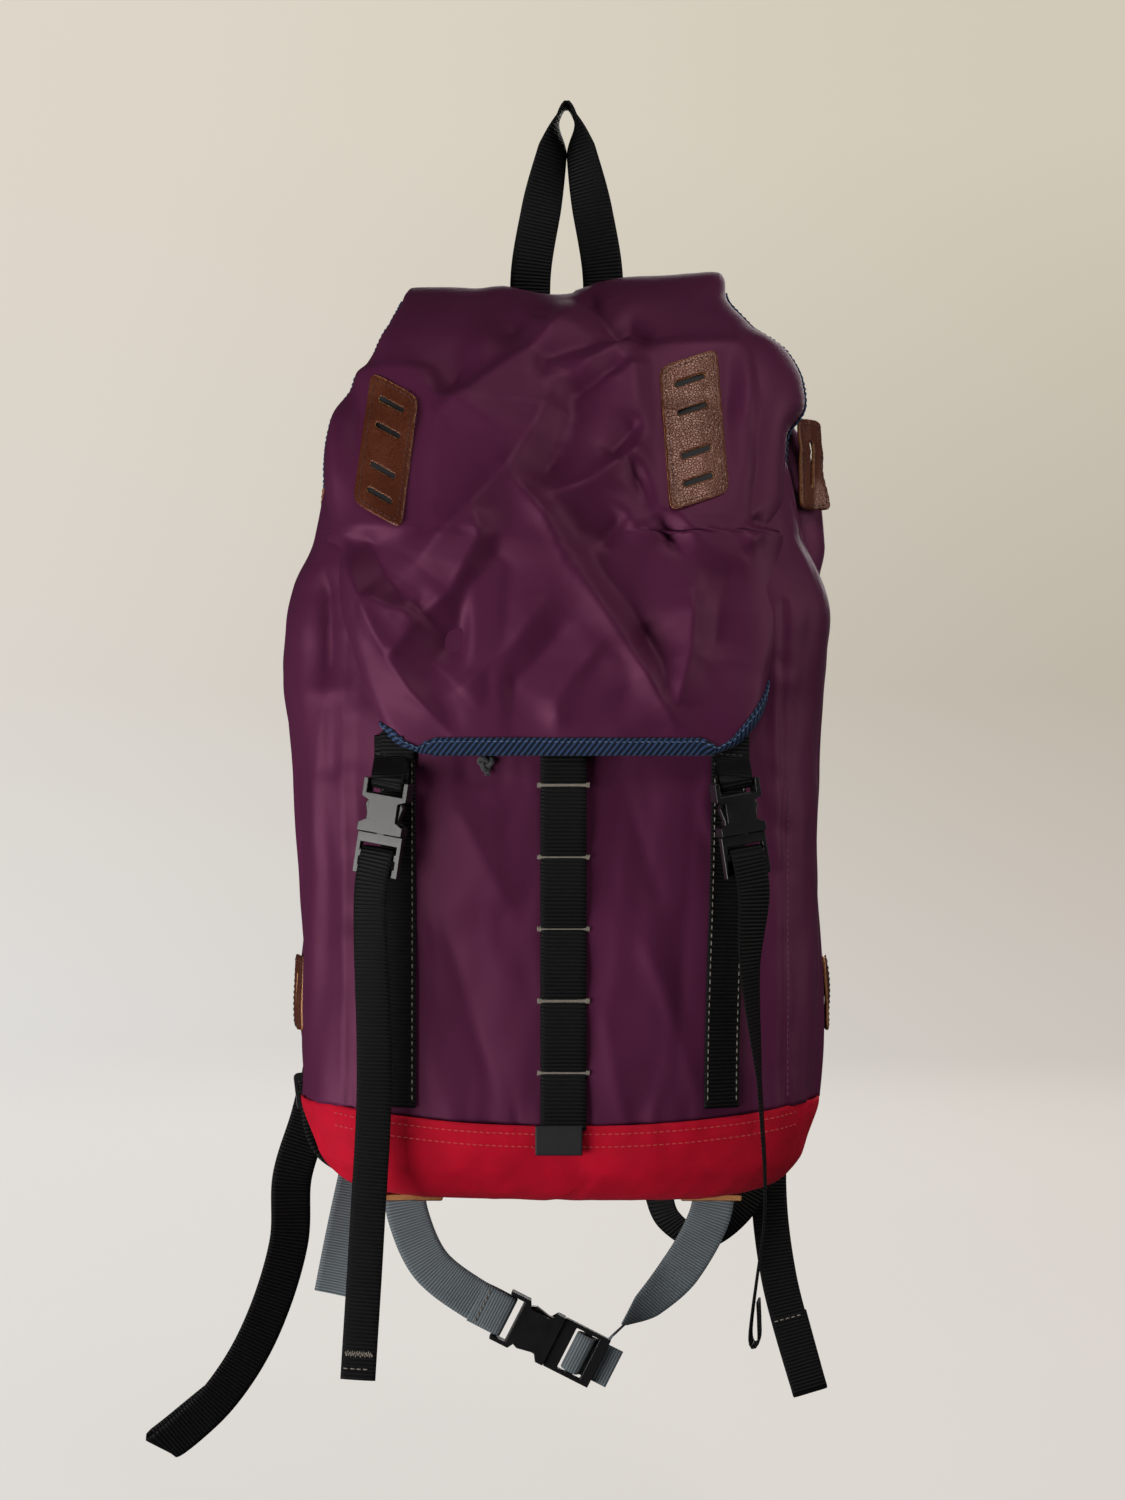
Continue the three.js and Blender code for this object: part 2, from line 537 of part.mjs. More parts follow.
function addBelt() {
  const place = turned([-10, -26, -727], -BELT_LEAN, 0);
  addBuckle('belt_buckle', WIDE_WEB, place);
  const k = WIDE_WEB / STRAP_WIDTH;
  const wide = [1, 0, 0];
  const turn = worldAcross(place);
  const at = (y, z) => worldPoint(place, [0, y, z]);
  const bar = 24.4 * k;
  const left = [[-96, -26, -633], [-93, -26, -655], [-80, -25, -684], at(3.4, bar + 20), at(3.4, bar + 10),
    at(2.9, bar + 3), at(2.1, bar - 2.1), at(0, bar - 3), at(-2.1, bar - 2.1), at(-2.9, bar + 3),
    at(-2.6, bar + 18)];
  add('belt_band_left', 'slate', webbing(left,
    [wide, [1, 0, 0.1], [1, 0, 0.6], turn, turn, turn, turn, turn, turn, turn, turn],
    WIDE_WEB - 0.5, 1.2, 44));
  const right = [[87, -24, -633], [84, -24, -655], [66, -23.5, -688], [47, -22.8, -708.5], [34, -22.6, -719.5]];
  add('belt_band_right', 'slate', webbing(right, [wide, wide, [0.8, 0, -0.6], [0.8, 0, -0.6], [0.8, 0, -0.6]],
    WIDE_WEB - 0.5, 1.2, 18));
  const wrap = [at(-4.4, -8 * k), at(-4.2, -15 * k), at(-4.2, -20 * k), at(-4.2, -28 * k), at(-4.6, -44 * k)];
  add('belt_tail_right', 'slate', webbing(wrap, [turn, turn], WIDE_WEB - 0.5, 1.2, 12));
  const loose = [[-122, -16, -633], [-128, -16, -662], [-136, -16, -703]];
  add('belt_tail_left', 'slate', webbing(loose, [wide, [1, 0, -0.15]], WIDE_WEB - 0.5, 1.2, 8));
}

addSack();
addCollar();
addBack();
addDaisyChain();
addFrontStrips();
addLid();
addLidPatches();
addSidePatches();
addBasePads();
addLidStraps();
addDrawcord();
addHaulLoop();
addShoulderStraps();
addShoulderTails();
addBelt();

export default group;
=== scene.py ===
"""The daypack's looks, in metres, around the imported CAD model."""
import json
import math
import random

import bmesh
import bpy
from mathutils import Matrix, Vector, noise
from mathutils.bvhtree import BVHTree

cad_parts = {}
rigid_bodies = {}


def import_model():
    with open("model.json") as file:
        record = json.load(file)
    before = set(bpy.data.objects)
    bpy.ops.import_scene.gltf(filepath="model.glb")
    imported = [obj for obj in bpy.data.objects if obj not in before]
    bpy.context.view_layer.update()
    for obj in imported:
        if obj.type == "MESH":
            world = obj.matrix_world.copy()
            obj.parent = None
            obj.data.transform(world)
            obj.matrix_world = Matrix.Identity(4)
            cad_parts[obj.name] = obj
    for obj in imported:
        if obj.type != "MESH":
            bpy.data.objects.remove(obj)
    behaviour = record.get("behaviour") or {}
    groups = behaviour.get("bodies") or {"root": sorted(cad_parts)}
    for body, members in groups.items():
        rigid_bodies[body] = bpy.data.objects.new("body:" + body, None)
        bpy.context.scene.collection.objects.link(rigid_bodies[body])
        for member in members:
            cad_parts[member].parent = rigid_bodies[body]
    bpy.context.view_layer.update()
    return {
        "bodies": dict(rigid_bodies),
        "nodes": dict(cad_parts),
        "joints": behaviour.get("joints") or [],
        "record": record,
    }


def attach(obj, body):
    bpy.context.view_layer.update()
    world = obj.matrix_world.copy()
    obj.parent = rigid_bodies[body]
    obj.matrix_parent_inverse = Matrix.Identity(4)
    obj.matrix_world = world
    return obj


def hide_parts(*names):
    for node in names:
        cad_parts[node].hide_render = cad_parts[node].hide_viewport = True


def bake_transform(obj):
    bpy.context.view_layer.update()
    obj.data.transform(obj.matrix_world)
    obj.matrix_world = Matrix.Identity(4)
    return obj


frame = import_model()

# ------------------------------------------------------------------ driving dimensions

SQUARENESS = 3.2          # exponent of the sack's rounded-box section
CLOTH = 0.0011            # thickness of the nylon
WEB = 0.0016              # thickness of the heavy webbing
STRAP_WEB = 0.0013        # thickness of the lid straps' and the belt's webbing
SEAM_SHARE = 0.8          # the front panel's share of the sack's width
SEAM_X = SEAM_SHARE * 0.148  # from the middle to the seams beside it
SEAM_Z = -0.577           # seam between the purple body and the red base
SACK_TOP = -0.1452        # where the nylon ends and the collar begins
HEM_Z = -0.384            # lid hem
DART_Z = -0.262           # the lid's side darts
HINGE_CLEAR = -0.030      # the side bindings end ahead of this y, below the hinge

# Stations: height, half width, front y and back y.
SACK = [
    (-0.628, 0.104, -0.116, -0.026),
    (-0.6265, 0.118, -0.130, -0.014),
    (-0.621, 0.131, -0.143, -0.005),
    (-0.605, 0.142, -0.153, -0.002),
    (SEAM_Z, 0.147, -0.157, -0.0015),
    (-0.450, 0.147, -0.157, -0.0015),
    (-0.318, 0.150, -0.157, -0.0015),
    (-0.257, 0.141, -0.146, -0.0015),
    (-0.210, 0.131, -0.118, -0.0015),
    (-0.170, 0.112, -0.086, -0.0015),
    (-0.145, 0.088, -0.062, -0.0015),
]
LID_BACK = 0.014          # the lid's section closes behind the sack
LID = [
    (-0.390, 0.158, -0.165, LID_BACK),
    (-0.305, 0.157, -0.165, LID_BACK),
    (-0.257, 0.147, -0.157, LID_BACK),
    (-0.195, 0.142, -0.137, LID_BACK),
    (-0.160, 0.129, -0.113, LID_BACK),
    (-0.136, 0.115, -0.092, LID_BACK),
    (-0.120, 0.105, -0.074, LID_BACK),
    (-0.109, 0.099, -0.052, LID_BACK),
    (-0.1045, 0.096, -0.030, LID_BACK),
    (-0.1042, 0.092, -0.014, LID_BACK),
]
# The lid's cloth behind its top edge, where it turns down into the yoke: y and drop.
LID_REAR = [(-0.0115, -0.0002), (-0.0090, 0.0), (-0.0070, 0.0008), (-0.0054, 0.0024), (-0.0042, 0.0050),
            (-0.0036, 0.0085), (-0.0034, 0.0160)]
# Side edge of the lid, seen from the side: height and y.
LID_EDGE = [(-0.105, -0.012), (-0.135, -0.040), (-0.200, -0.066), (DART_Z, -0.080)]
# Edge of the front flap: height and half width.
FLAP_EDGE = [(-0.266, 0.124), (-0.305, 0.121), (-0.344, 0.112), (-0.366, 0.103), (-0.378, 0.094),
             (HEM_Z, 0.080)]
# The drawcord, from the cord lock over the sack and down under the lid.
CORD_ROUTE = [
    (-0.046, -0.09, -0.167), (-0.046, -0.0975, -0.173), (-0.046, -0.106, -0.181),
    (-0.046, -0.1165, -0.1915), (-0.046, -0.126, -0.205), (-0.0455, -0.1332, -0.218),
    (-0.045, -0.1395, -0.232), (-0.0445, -0.1454, -0.2445), (-0.044, -0.1503, -0.257),
    (-0.044, -0.154, -0.272), (-0.044, -0.1565, -0.288), (-0.044, -0.1586, -0.303),
    (-0.044, -0.16, -0.318), (-0.044, -0.1602, -0.334), (-0.044, -0.16, -0.35),
    (-0.044, -0.16, -0.367), (-0.044, -0.1602, -0.384),
]


# ------------------------------------------------------------------ camera, light and stage

def add_object(name, data):
    item = bpy.data.objects.new(name, data)
    bpy.context.collection.objects.link(item)
    return item


def make_camera():
    data = bpy.data.cameras.new("camera")
    data.lens = 71.8
    data.clip_end = 20
    camera = add_object("camera", data)
    camera.location = (-0.0025, -1.78, -0.382)
    camera.rotation_euler = (math.radians(90), 0, 0)
    bpy.context.scene.camera = camera


def area_light(name, location, target, size, power, colour):
    data = bpy.data.lights.new(name, "AREA")
    data.shape = "RECTANGLE"
    data.size, data.size_y = size
    data.energy = power
    data.color = colour
    light = add_object(name, data)
    light.location = location
    light.rotation_euler = (Vector(target) - Vector(location)).to_track_quat("-Z", "Y").to_euler()
    light.visible_camera = False


def make_stage():
    """A window low on the left, weaker lights above, right and behind, and a room that lights nothing but
    glows with painted light.
    """
    middle = (0, -0.05, -0.40)
    area_light("window", (-1.50, -1.18, -0.95), middle, (1.4, 1.2), 38, (1.0, 0.98, 0.96))
    area_light("ceiling", (0.54, -1.15, 1.38), middle, (0.5, 0.5), 13, (1.0, 0.96, 0.91))
    area_light("far_wall", (1.9, -0.6, 0.1), middle, (1.0, 1.2), 12, (1.0, 0.96, 0.90))
    area_light("behind", (0.5, 2.4, 0.5), middle, (1.6, 1.2), 20, (1.0, 0.98, 0.95))
    world = bpy.data.worlds.new("world")
    world.use_nodes = True
    sky = world.node_tree.nodes["Background"].inputs
    sky["Color"].default_value = (0.95, 0.93, 0.90, 1)
    sky["Strength"].default_value = 0.04
    bpy.context.scene.world = world
    bpy.context.scene.view_settings.view_transform = "Standard"
    floor_z, radius, bend_radius, height = -0.86, 6.0, 2.6, 7.0
    profile = [(0.001, floor_z), (radius - bend_radius, floor_z)]
    bend_steps = 16
    for k in range(1, bend_steps + 1):
        a = math.pi / 2 * k / bend_steps
        profile.append((radius - bend_radius * (1 - math.sin(a)), floor_z + bend_radius * (1 - math.cos(a))))
    profile.append((radius, height))
    sides = 96

    def place(j, i):
        a = 2 * math.pi * i / sides
        return (profile[j][0] * math.cos(a), profile[j][0] * math.sin(a), profile[j][1])

    room = grid("room", len(profile), sides, place, "stage", wrap=True)
    room.visible_diffuse = room.visible_glossy = room.visible_transmission = room.visible_shadow = False


# ------------------------------------------------------------------ mesh helpers

def wear(item, body, nodes=()):
    """The piece moves with a body and stands in for CAD nodes, which it hides."""
    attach(item, body)
    if nodes:
        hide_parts(*nodes)


def mesh_object(name, verts, faces, material, uvs=None):
    mesh = bpy.data.meshes.new(name)
    mesh.from_pydata([tuple(v) for v in verts], [], faces)
    mesh.update()
    if uvs is not None:
        layer = mesh.uv_layers.new(name="cloth")
        for loop in mesh.loops:
            layer.data[loop.index].uv = uvs[loop.vertex_index]
    for polygon in mesh.polygons:
        polygon.use_smooth = True
    mesh.materials.append(MATERIALS[material])
    return add_object(name, mesh)


def rounds(rings, sides, first=0, caps=False):
    """Faces that join closed rings of points one after the other; caps closes both ends."""
    faces = []
    for j in range(rings - 1):
        low, high = first + j * sides, first + (j + 1) * sides
        for s in range(sides):
            e = (s + 1) % sides
            faces.append((low + s, low + e, high + e, high + s))
    if caps:
        last = first + (rings - 1) * sides
        faces.append(tuple(first + s for s in reversed(range(sides))))
        faces.append(tuple(last + s for s in range(sides)))
    return faces


def grid(name, rows, columns, place, material, wrap=False):
    """A sheet of rows x columns points, each given by place(j, i)."""
    verts = [place(j, i) for j in range(rows) for i in range(columns)]
    faces = rounds(rows, columns)
    if not wrap:
        faces = [face for face in faces if face[1] % columns]
    return mesh_object(name, verts, faces, material)


def cad_copy(node, ending, *materials):
    """A copy of a CAD solid's mesh to work on."""
    mesh = bpy.data.objects[node].data.copy()
    mesh.materials.clear()
    for material in materials:
        mesh.materials.append(MATERIALS[material])
    return add_object(node + ending, mesh)


def modifier(item, kind, **settings):
    made = item.modifiers.new(kind.lower(), kind)
    for key, value in settings.items():
        setattr(made, key, value)
    return made


def apply_modifiers(item):
    graph = bpy.context.evaluated_depsgraph_get()
    mesh = bpy.data.meshes.new_from_object(item.evaluated_get(graph))
    item.modifiers.clear()
    item.data = mesh


def thicken(item, depth=CLOTH):
    modifier(item, "SOLIDIFY", thickness=depth, offset=-1, use_even_offset=False)


def hermite(rows, at):
    """Smooth values between rows whose first column rises."""
    rows = rows if rows[0][0] < rows[-1][0] else rows[::-1]
    at = min(max(at, rows[0][0]), rows[-1][0])
    k = 0
    while k < len(rows) - 2 and rows[k + 1][0] < at:
        k += 1
    a, b = rows[k], rows[k + 1]
    span = b[0] - a[0]
    t = (at - a[0]) / span
    found = []
    for c in range(1, len(a)):
        slope = (b[c] - a[c]) / span
        before = (a[c] - rows[k - 1][c]) / (a[0] - rows[k - 1][0]) if k > 0 else slope
        after = (rows[k + 2][c] - b[c]) / (rows[k + 2][0] - b[0]) if k < len(rows) - 2 else slope
        m0 = 0 if before * slope <= 0 else 2 * before * slope / (before + slope)
        m1 = 0 if after * slope <= 0 else 2 * after * slope / (after + slope)
        h00, h10 = (1 + 2 * t) * (1 - t) ** 2, t * (1 - t) ** 2
        h01, h11 = t * t * (3 - 2 * t), t * t * (t - 1)
        found.append(h00 * a[c] + h10 * span * m0 + h01 * b[c] + h11 * span * m1)
    return found


def bend(c, power=2 / SQUARENESS):
    return math.copysign(abs(c) ** power, c)


def front_y(rows, x, z):
    half, front, back = hermite(rows, z)
    fall = 1 - min(abs(x) / half, 0.985) ** SQUARENESS
    return (front + back) / 2 - (back - front) / 2 * fall ** (1 / SQUARENESS)


def smooth(a, b, x):
    t = min(max((x - a) / (b - a), 0), 1)
    return t * t * (3 - 2 * t)


# ------------------------------------------------------------------ folds in the cloth

CREST = 0.0011            # how sharply a fold's crest turns


class Fold:
    """A soft ridge (height above 0) or valley along a line of points seen from the front (x, z).
    lean above 0 widens its left side, seen along the line, and narrows the other."""

    def __init__(self, line, width, height, lean=0.0):
        self.line, self.width, self.height, self.lean = line, width, height, lean
        self.total = sum(math.dist(a, b) for a, b in zip(line, line[1:]))
        reach = 4.5 * width
        self.low = [min(p[k] for p in line) - reach for k in (0, 1)]
        self.high = [max(p[k] for p in line) + reach for k in (0, 1)]

    def at(self, x, z):
        if not (self.low[0] < x < self.high[0] and self.low[1] < z < self.high[1]):
            return 0.0
        nearest, passed = None, 0.0
        for (ax, az), (bx, bz) in zip(self.line, self.line[1:]):
            length = math.hypot(bx - ax, bz - az)
            ux, uz = (bx - ax) / length, (bz - az) / length
            along = min(max((x - ax) * ux + (z - az) * uz, 0), length)
            away = math.hypot(x - ax - ux * along, z - az - uz * along)
            if nearest is None or away < nearest[0]:
                side = 1 if (z - az) * ux - (x - ax) * uz > 0 else -1
                nearest = (away, (passed + along) / self.total, side)
            passed += length
        away, share, side = nearest
        width = self.width * (1 + self.lean * side) * (0.75 + 0.35 * math.sin(math.pi * share))
        ends = smooth(-0.12, 0.22, share) * (1 - smooth(0.78, 1.12, share))
        crest = math.sqrt(away * away + CREST * CREST) - CREST
        return self.height * ends * math.exp(-crest / width)


def crumple(x, z, scale_x, scale_z, seed):
    """Gentle unevenness from stretched noise, about -1 to 1."""
    p = Vector((x / scale_x, z / scale_z, seed))
    warp = noise.noise(p * 0.6 + Vector((7.1, 3.3, 0)))
    return noise.noise(p + Vector((warp, warp * 0.7, 0))) * 1.3


def push(item, amount):
    """Moves every point along its normal by amount(position)."""
    mesh = item.data
    normals = [v.normal.copy() for v in mesh.vertices]
    for v, n in zip(mesh.vertices, normals):
        v.co += n * amount(v.co)
    mesh.update()


# ------------------------------------------------------------------ materials

MATERIALS = {}
WAVES = 3.183             # bands in each unit of length of a wave texture at scale 1


class Nodes:
    """Short calls for a material's node tree."""

    def __init__(self, name):
        self.material = bpy.data.materials.new(name)
        self.material.use_nodes = True
        self.tree = self.material.node_tree
        self.tree.nodes.clear()
        self.shader = self.add("ShaderNodeBsdfPrincipled")
        out = self.add("ShaderNodeOutputMaterial")
        self.link(self.shader.outputs["BSDF"], out.inputs["Surface"])
        MATERIALS[name] = self.material

    def add(self, kind, **settings):
        node = self.tree.nodes.new(kind)
        for key, value in settings.items():
            setattr(node, key, value)
        return node

    def link(self, a, b):
        self.tree.links.new(a, b)

    def put(self, socket, value):
        if isinstance(value, bpy.types.NodeSocket):
            self.link(value, socket)
        elif value is not None:
            socket.default_value = value

    def place(self, uv=False, scale=(1, 1, 1), turn=0.0):
        coords = self.add("ShaderNodeTexCoord")
        mapping = self.add("ShaderNodeMapping")
        mapping.inputs["Scale"].default_value = scale
        mapping.inputs["Rotation"].default_value = (0, turn if not uv else 0, turn if uv else 0)
        self.link(coords.outputs["UV" if uv else "Object"], mapping.inputs["Vector"])
        return mapping.outputs["Vector"]

    def noise(self, vector, scale, detail=3, roughness=0.5):
        node = self.add("ShaderNodeTexNoise")
        self.link(vector, node.inputs["Vector"])
        node.inputs["Scale"].default_value = scale
        node.inputs["Detail"].default_value = detail
        node.inputs["Roughness"].default_value = roughness
        return node.outputs["Fac"]

    def wave(self, vector, scale, direction, distortion):
        node = self.add("ShaderNodeTexWave", bands_direction=direction, wave_profile="SIN")
        self.link(vector, node.inputs["Vector"])
        node.inputs["Scale"].default_value = scale
        node.inputs["Distortion"].default_value = distortion
        node.inputs["Detail"].default_value = 1
        return node.outputs["Fac"]

    def math(self, operation, a, b=None, c=None):
        node = self.add("ShaderNodeMath", operation=operation)
        for socket, value in zip(node.inputs, (a, b, c)):
            self.put(socket, value)
        return node.outputs[0]

    def ramp(self, value, stops):
        node = self.add("ShaderNodeValToRGB")
        self.link(value, node.inputs["Fac"])
        while len(node.color_ramp.elements) < len(stops):
            node.color_ramp.elements.new(0.5)
        for element, (position, colour) in zip(node.color_ramp.elements, stops):
            element.position = position
            element.color = (*colour, 1)
        return node.outputs["Color"]

    def fit(self, value, low, high):
        node = self.add("ShaderNodeMapRange")
        self.link(value, node.inputs["Value"])
        node.inputs["To Min"].default_value = low
        node.inputs["To Max"].default_value = high
        return node.outputs["Result"]

    def bump(self, height, strength, distance, after=None):
        node = self.add("ShaderNodeBump")
        node.inputs["Strength"].default_value = strength
        node.inputs["Distance"].default_value = distance
        self.link(height, node.inputs["Height"])
        if after is not None:
            self.link(after, node.inputs["Normal"])
        return node.outputs["Normal"]

    def finish(self, colour, roughness, normal=None, **constants):
        self.put(self.shader.inputs["Base Color"], colour)
        self.put(self.shader.inputs["Roughness"], roughness)
        if normal is not None:
            self.link(normal, self.shader.inputs["Normal"])
        for key, value in constants.items():
            self.shader.inputs[key.replace("_", " ")].default_value = value

    def mix(self, a, b, share):
        """share of a and the rest of b."""
        rest = self.math("MULTIPLY", b, round(1 - share, 3))
        return self.math("ADD", self.math("MULTIPLY", a, share), rest)


def tint(colour, k):
    return tuple(min(c * k, 1) for c in colour)


def nylon(name, colour, satin=(1, 1, 1), gloss=0.50, crinkle=0.22, shine=0.15):
    """Closely woven nylon twill: fine weave, faint crinkles and a satin face."""
    m = Nodes(name)
    flat = m.place()
    diagonal = m.place(turn=math.radians(45))
    weave = m.wave(diagonal, 950, "X", 0.6)
    cross = m.wave(diagonal, 1400, "Z", 0.6)
    threads = m.math("MULTIPLY", weave, cross)
    creases = m.noise(flat, 42, 4, 0.55)
    slow = m.noise(flat, 9, 2, 0.5)
    shade = m.ramp(m.mix(threads, slow, 0.35), [(0.25, tint(colour, 0.80)), (0.75, tint(colour, 1.18))])
    fine = m.bump(threads, 0.22, 0.00012)
    normal = m.bump(creases, crinkle, 0.0011, fine)
    m.finish(shade, m.fit(creases, gloss - 0.05, gloss + 0.09), normal, Specular_IOR_Level=shine,
             Specular_Tint=(*satin, 1))


def twill(name, colour):
    """A tape or canvas whose diagonal ridges show."""
    m = Nodes(name)
    diagonal = m.place(turn=math.radians(52))
    ridge = m.wave(diagonal, 430, "X", 0.5)
    dirt = m.noise(m.place(), 60, 4, 0.6)
    shade = m.ramp(m.mix(ridge, dirt, 0.5), [(0.25, tint(colour, 0.66)), (0.75, tint(colour, 1.34))])
    normal = m.bump(ridge, 0.55, 0.0004, m.bump(dirt, 0.25, 0.0006))
    m.finish(shade, m.fit(dirt, 0.62, 0.82), normal, Sheen_Weight=0.02, Specular_IOR_Level=0.14)


def tape_twill(name, colour):
    """Herringbone of a binding tape, along its own length."""
    m = Nodes(name)
    along = m.place(uv=True, turn=math.radians(38))
    ridge = m.wave(along, 118, "X", 0.3)
    fibre = m.noise(m.place(), 900, 2, 0.6)
    stops = [(0.25, tint(colour, 0.35)), (0.55, colour), (0.80, tint(colour, 2.8))]
    shade = m.ramp(m.mix(ridge, fibre, 0.7), stops)
    normal = m.bump(ridge, 0.8, 0.0005, m.bump(fibre, 0.3, 0.0002))
    m.finish(shade, 0.66, normal, Sheen_Weight=0.05, Specular_IOR_Level=0.15)


def ribbed(name, colour, rib=0.0021, light=1.9, roughness=0.55, depth=0.75):
    """Webbing: ribs across its length, fine threads along it, paler at the rib crowns and darker between
    them, with random rubbed patches. UV is metres.
    """
    m = Nodes(name)
    uv = m.place(uv=True)
    ribs = m.wave(uv, 1 / rib / WAVES, "Y", 0.15)
    threads = m.wave(uv, 1 / 0.0007 / WAVES, "X", 0.4)
    rubbed = m.noise(m.place(), 70, 4, 0.6)
    cloth = m.math("MULTIPLY", ribs, m.fit(threads, 0.75, 1.0))
    shade = m.ramp(m.mix(cloth, rubbed, 0.7), [(0.2, tint(colour, 0.5)), (0.8, tint(colour, light))])
    normal = m.bump(cloth, depth, 0.0006, m.bump(rubbed, 0.15, 0.0006))
    m.finish(shade, m.fit(rubbed, roughness - 0.08, roughness + 0.1), normal, Specular_IOR_Level=0.14)


def leather(name, colour, edge):
    """Waxed leather: pores, fine creases, darker hollows and paler rubbed high spots."""
    m = Nodes(name)
    flat = m.place()
    pores = m.add("ShaderNodeTexVoronoi", feature="DISTANCE_TO_EDGE")
    pores.inputs["Scale"].default_value = 620
    m.link(flat, pores.inputs["Vector"])
    grain = m.noise(flat, 260, 4, 0.65)
    stain = m.noise(flat, 22, 5, 0.6)
    pits = m.math("MINIMUM", m.math("MULTIPLY", pores.outputs["Distance"], 6.0), 1.0)
    skin = m.mix(pits, grain, 0.5)
    shade = m.ramp(m.mix(stain, skin, 0.75), [(0.28, tint(colour, 0.55)), (0.52, colour), (0.78, edge)])
    normal = m.bump(skin, 0.4, 0.00035, m.bump(stain, 0.3, 0.0015))
    m.finish(shade, m.fit(stain, 0.28, 0.36), normal, Specular_IOR_Level=0.6,
             Specular_Tint=(1.0, 0.66, 0.56, 1))


def plastic(name, colour, roughness):
    """Moulded acetal: a fine spark-eroded texture and faint scuffs."""
    m = Nodes(name)
    flat = m.place()
    grit = m.noise(flat, 1500, 2, 0.6)
    scuff = m.noise(flat, 55, 5, 0.65)
    shade = m.ramp(scuff, [(0.3, tint(colour, 0.8)), (0.8, tint(colour, 1.5))])
    normal = m.bump(grit, 0.16, 0.00015, m.bump(scuff, 0.06, 0.0006))
    m.finish(shade, m.fit(scuff, roughness - 0.05, roughness + 0.12), normal, Specular_IOR_Level=0.5)


def thread(name, colour):
    """Twisted sewing thread."""
    m = Nodes(name)
    twist = m.wave(m.place(turn=math.radians(35)), 700, "X", 1.0)
    fuzz = m.noise(m.place(), 900, 2, 0.6)
    shade = m.ramp(m.mix(twist, fuzz, 0.5), [(0.2, tint(colour, 0.6)), (0.8, tint(colour, 1.3))])
    m.finish(shade, 0.7, m.bump(twist, 0.5, 0.0002), Sheen_Weight=0.2)


def backdrop(name):
    """Pale paint that glows a little with painted light: paler on the left and on the floor as by a window on
    the left, and darker on the right with a painted shadow.
    """
    m = Nodes(name)
    place = m.add("ShaderNodeSeparateXYZ")
    m.link(m.place(), place.inputs[0])
    across = m.add("ShaderNodeMapRange", interpolation_type="SMOOTHSTEP")
    up = m.add("ShaderNodeMapRange")
    for node, axis, low, high in ((across, 0, -1.8, 1.8), (up, 2, -0.86, 1.20)):
        m.link(place.outputs[axis], node.inputs["Value"])
        node.inputs["From Min"].default_value = low
        node.inputs["From Max"].default_value = high
    height = up.outputs[0]
    # painted light and shadow: the glow is paler on the left as from the window, and darker on the right,
    # darkest a little above the floor, as a painted shadow
    left = m.ramp(height, [(0.0, (0.74, 0.73, 0.71)), (0.3, (0.70, 0.66, 0.61)), (1.0, (0.72, 0.66, 0.57))])
    right = m.ramp(height, [(0.0, (0.56, 0.51, 0.46)), (0.3, (0.49, 0.44, 0.36)), (1.0, (0.62, 0.57, 0.46))])
    both = m.add("ShaderNodeMix", data_type="RGBA")
    m.link(across.outputs[0], both.inputs[0])
    m.link(left, both.inputs[6])
    m.link(right, both.inputs[7])
    m.link(both.outputs[2], m.shader.inputs["Emission Color"])
    paint = m.ramp(m.noise(m.place(), 0.9, 2, 0.5), [(0.3, (0.11, 0.105, 0.10)), (0.7, (0.13, 0.125, 0.12))])
    m.finish(paint, 0.9, Emission_Strength=1.0)


PLUM = (0.080, 0.0135, 0.047)
nylon("plum_nylon", PLUM, satin=(1.0, 0.36, 0.60), shine=0.42)
nylon("grey_lining", (0.055, 0.058, 0.066), crinkle=0.5, shine=0.3)
nylon("black_cloth", (0.018, 0.018, 0.021), gloss=0.6, crinkle=0.5, shine=0.3)
twill("red_twill", (0.52, 0.002, 0.022))
tape_twill("navy_tape", (0.012, 0.024, 0.058))
ribbed("black_webbing", (0.0035, 0.0035, 0.0040))
ribbed("slate_webbing", (0.160, 0.190, 0.210), rib=0.0016, light=1.25, roughness=0.6, depth=0.4)
leather("brown_leather", (0.080, 0.019, 0.0085), (0.16, 0.055, 0.028))
leather("tan_edge", (0.42, 0.19, 0.07), (0.60, 0.33, 0.14))
plastic("buckle_plastic", (0.010, 0.010, 0.011), 0.21)
thread("grey_thread", (0.26, 0.23, 0.19))
thread("brown_thread", (0.075, 0.016, 0.010))
thread("red_thread", (0.62, 0.05, 0.05))
thread("blue_thread", (0.10, 0.17, 0.32))
thread("plum_thread", (0.11, 0.03, 0.07))
thread("black_thread", (0.02, 0.02, 0.022))
thread("grey_cord", (0.045, 0.047, 0.052))
backdrop("stage")


# ------------------------------------------------------------------ lines

def running(points):
    """The length travelled at each point."""
    lengths = [0.0]
    for a, b in zip(points, points[1:]):
        lengths.append(lengths[-1] + (b - a).length)
    return lengths


def spread(points, count):
    """Evenly spaced points along a line of points, and the line's length."""
    lengths = running(points)
    even, k = [], 0
    for n in range(count):
        at = lengths[-1] * n / (count - 1)
        while k < len(lengths) - 2 and lengths[k + 1] < at:
            k += 1
        even.append(points[k].lerp(points[k + 1], (at - lengths[k]) / max(lengths[k + 1] - lengths[k], 1e-9)))
    return even, lengths[-1]


def even_path(points, step):
    """The same line with points about a step apart."""
    return spread(points, max(2, int(running(points)[-1] / step)) + 1)[0]


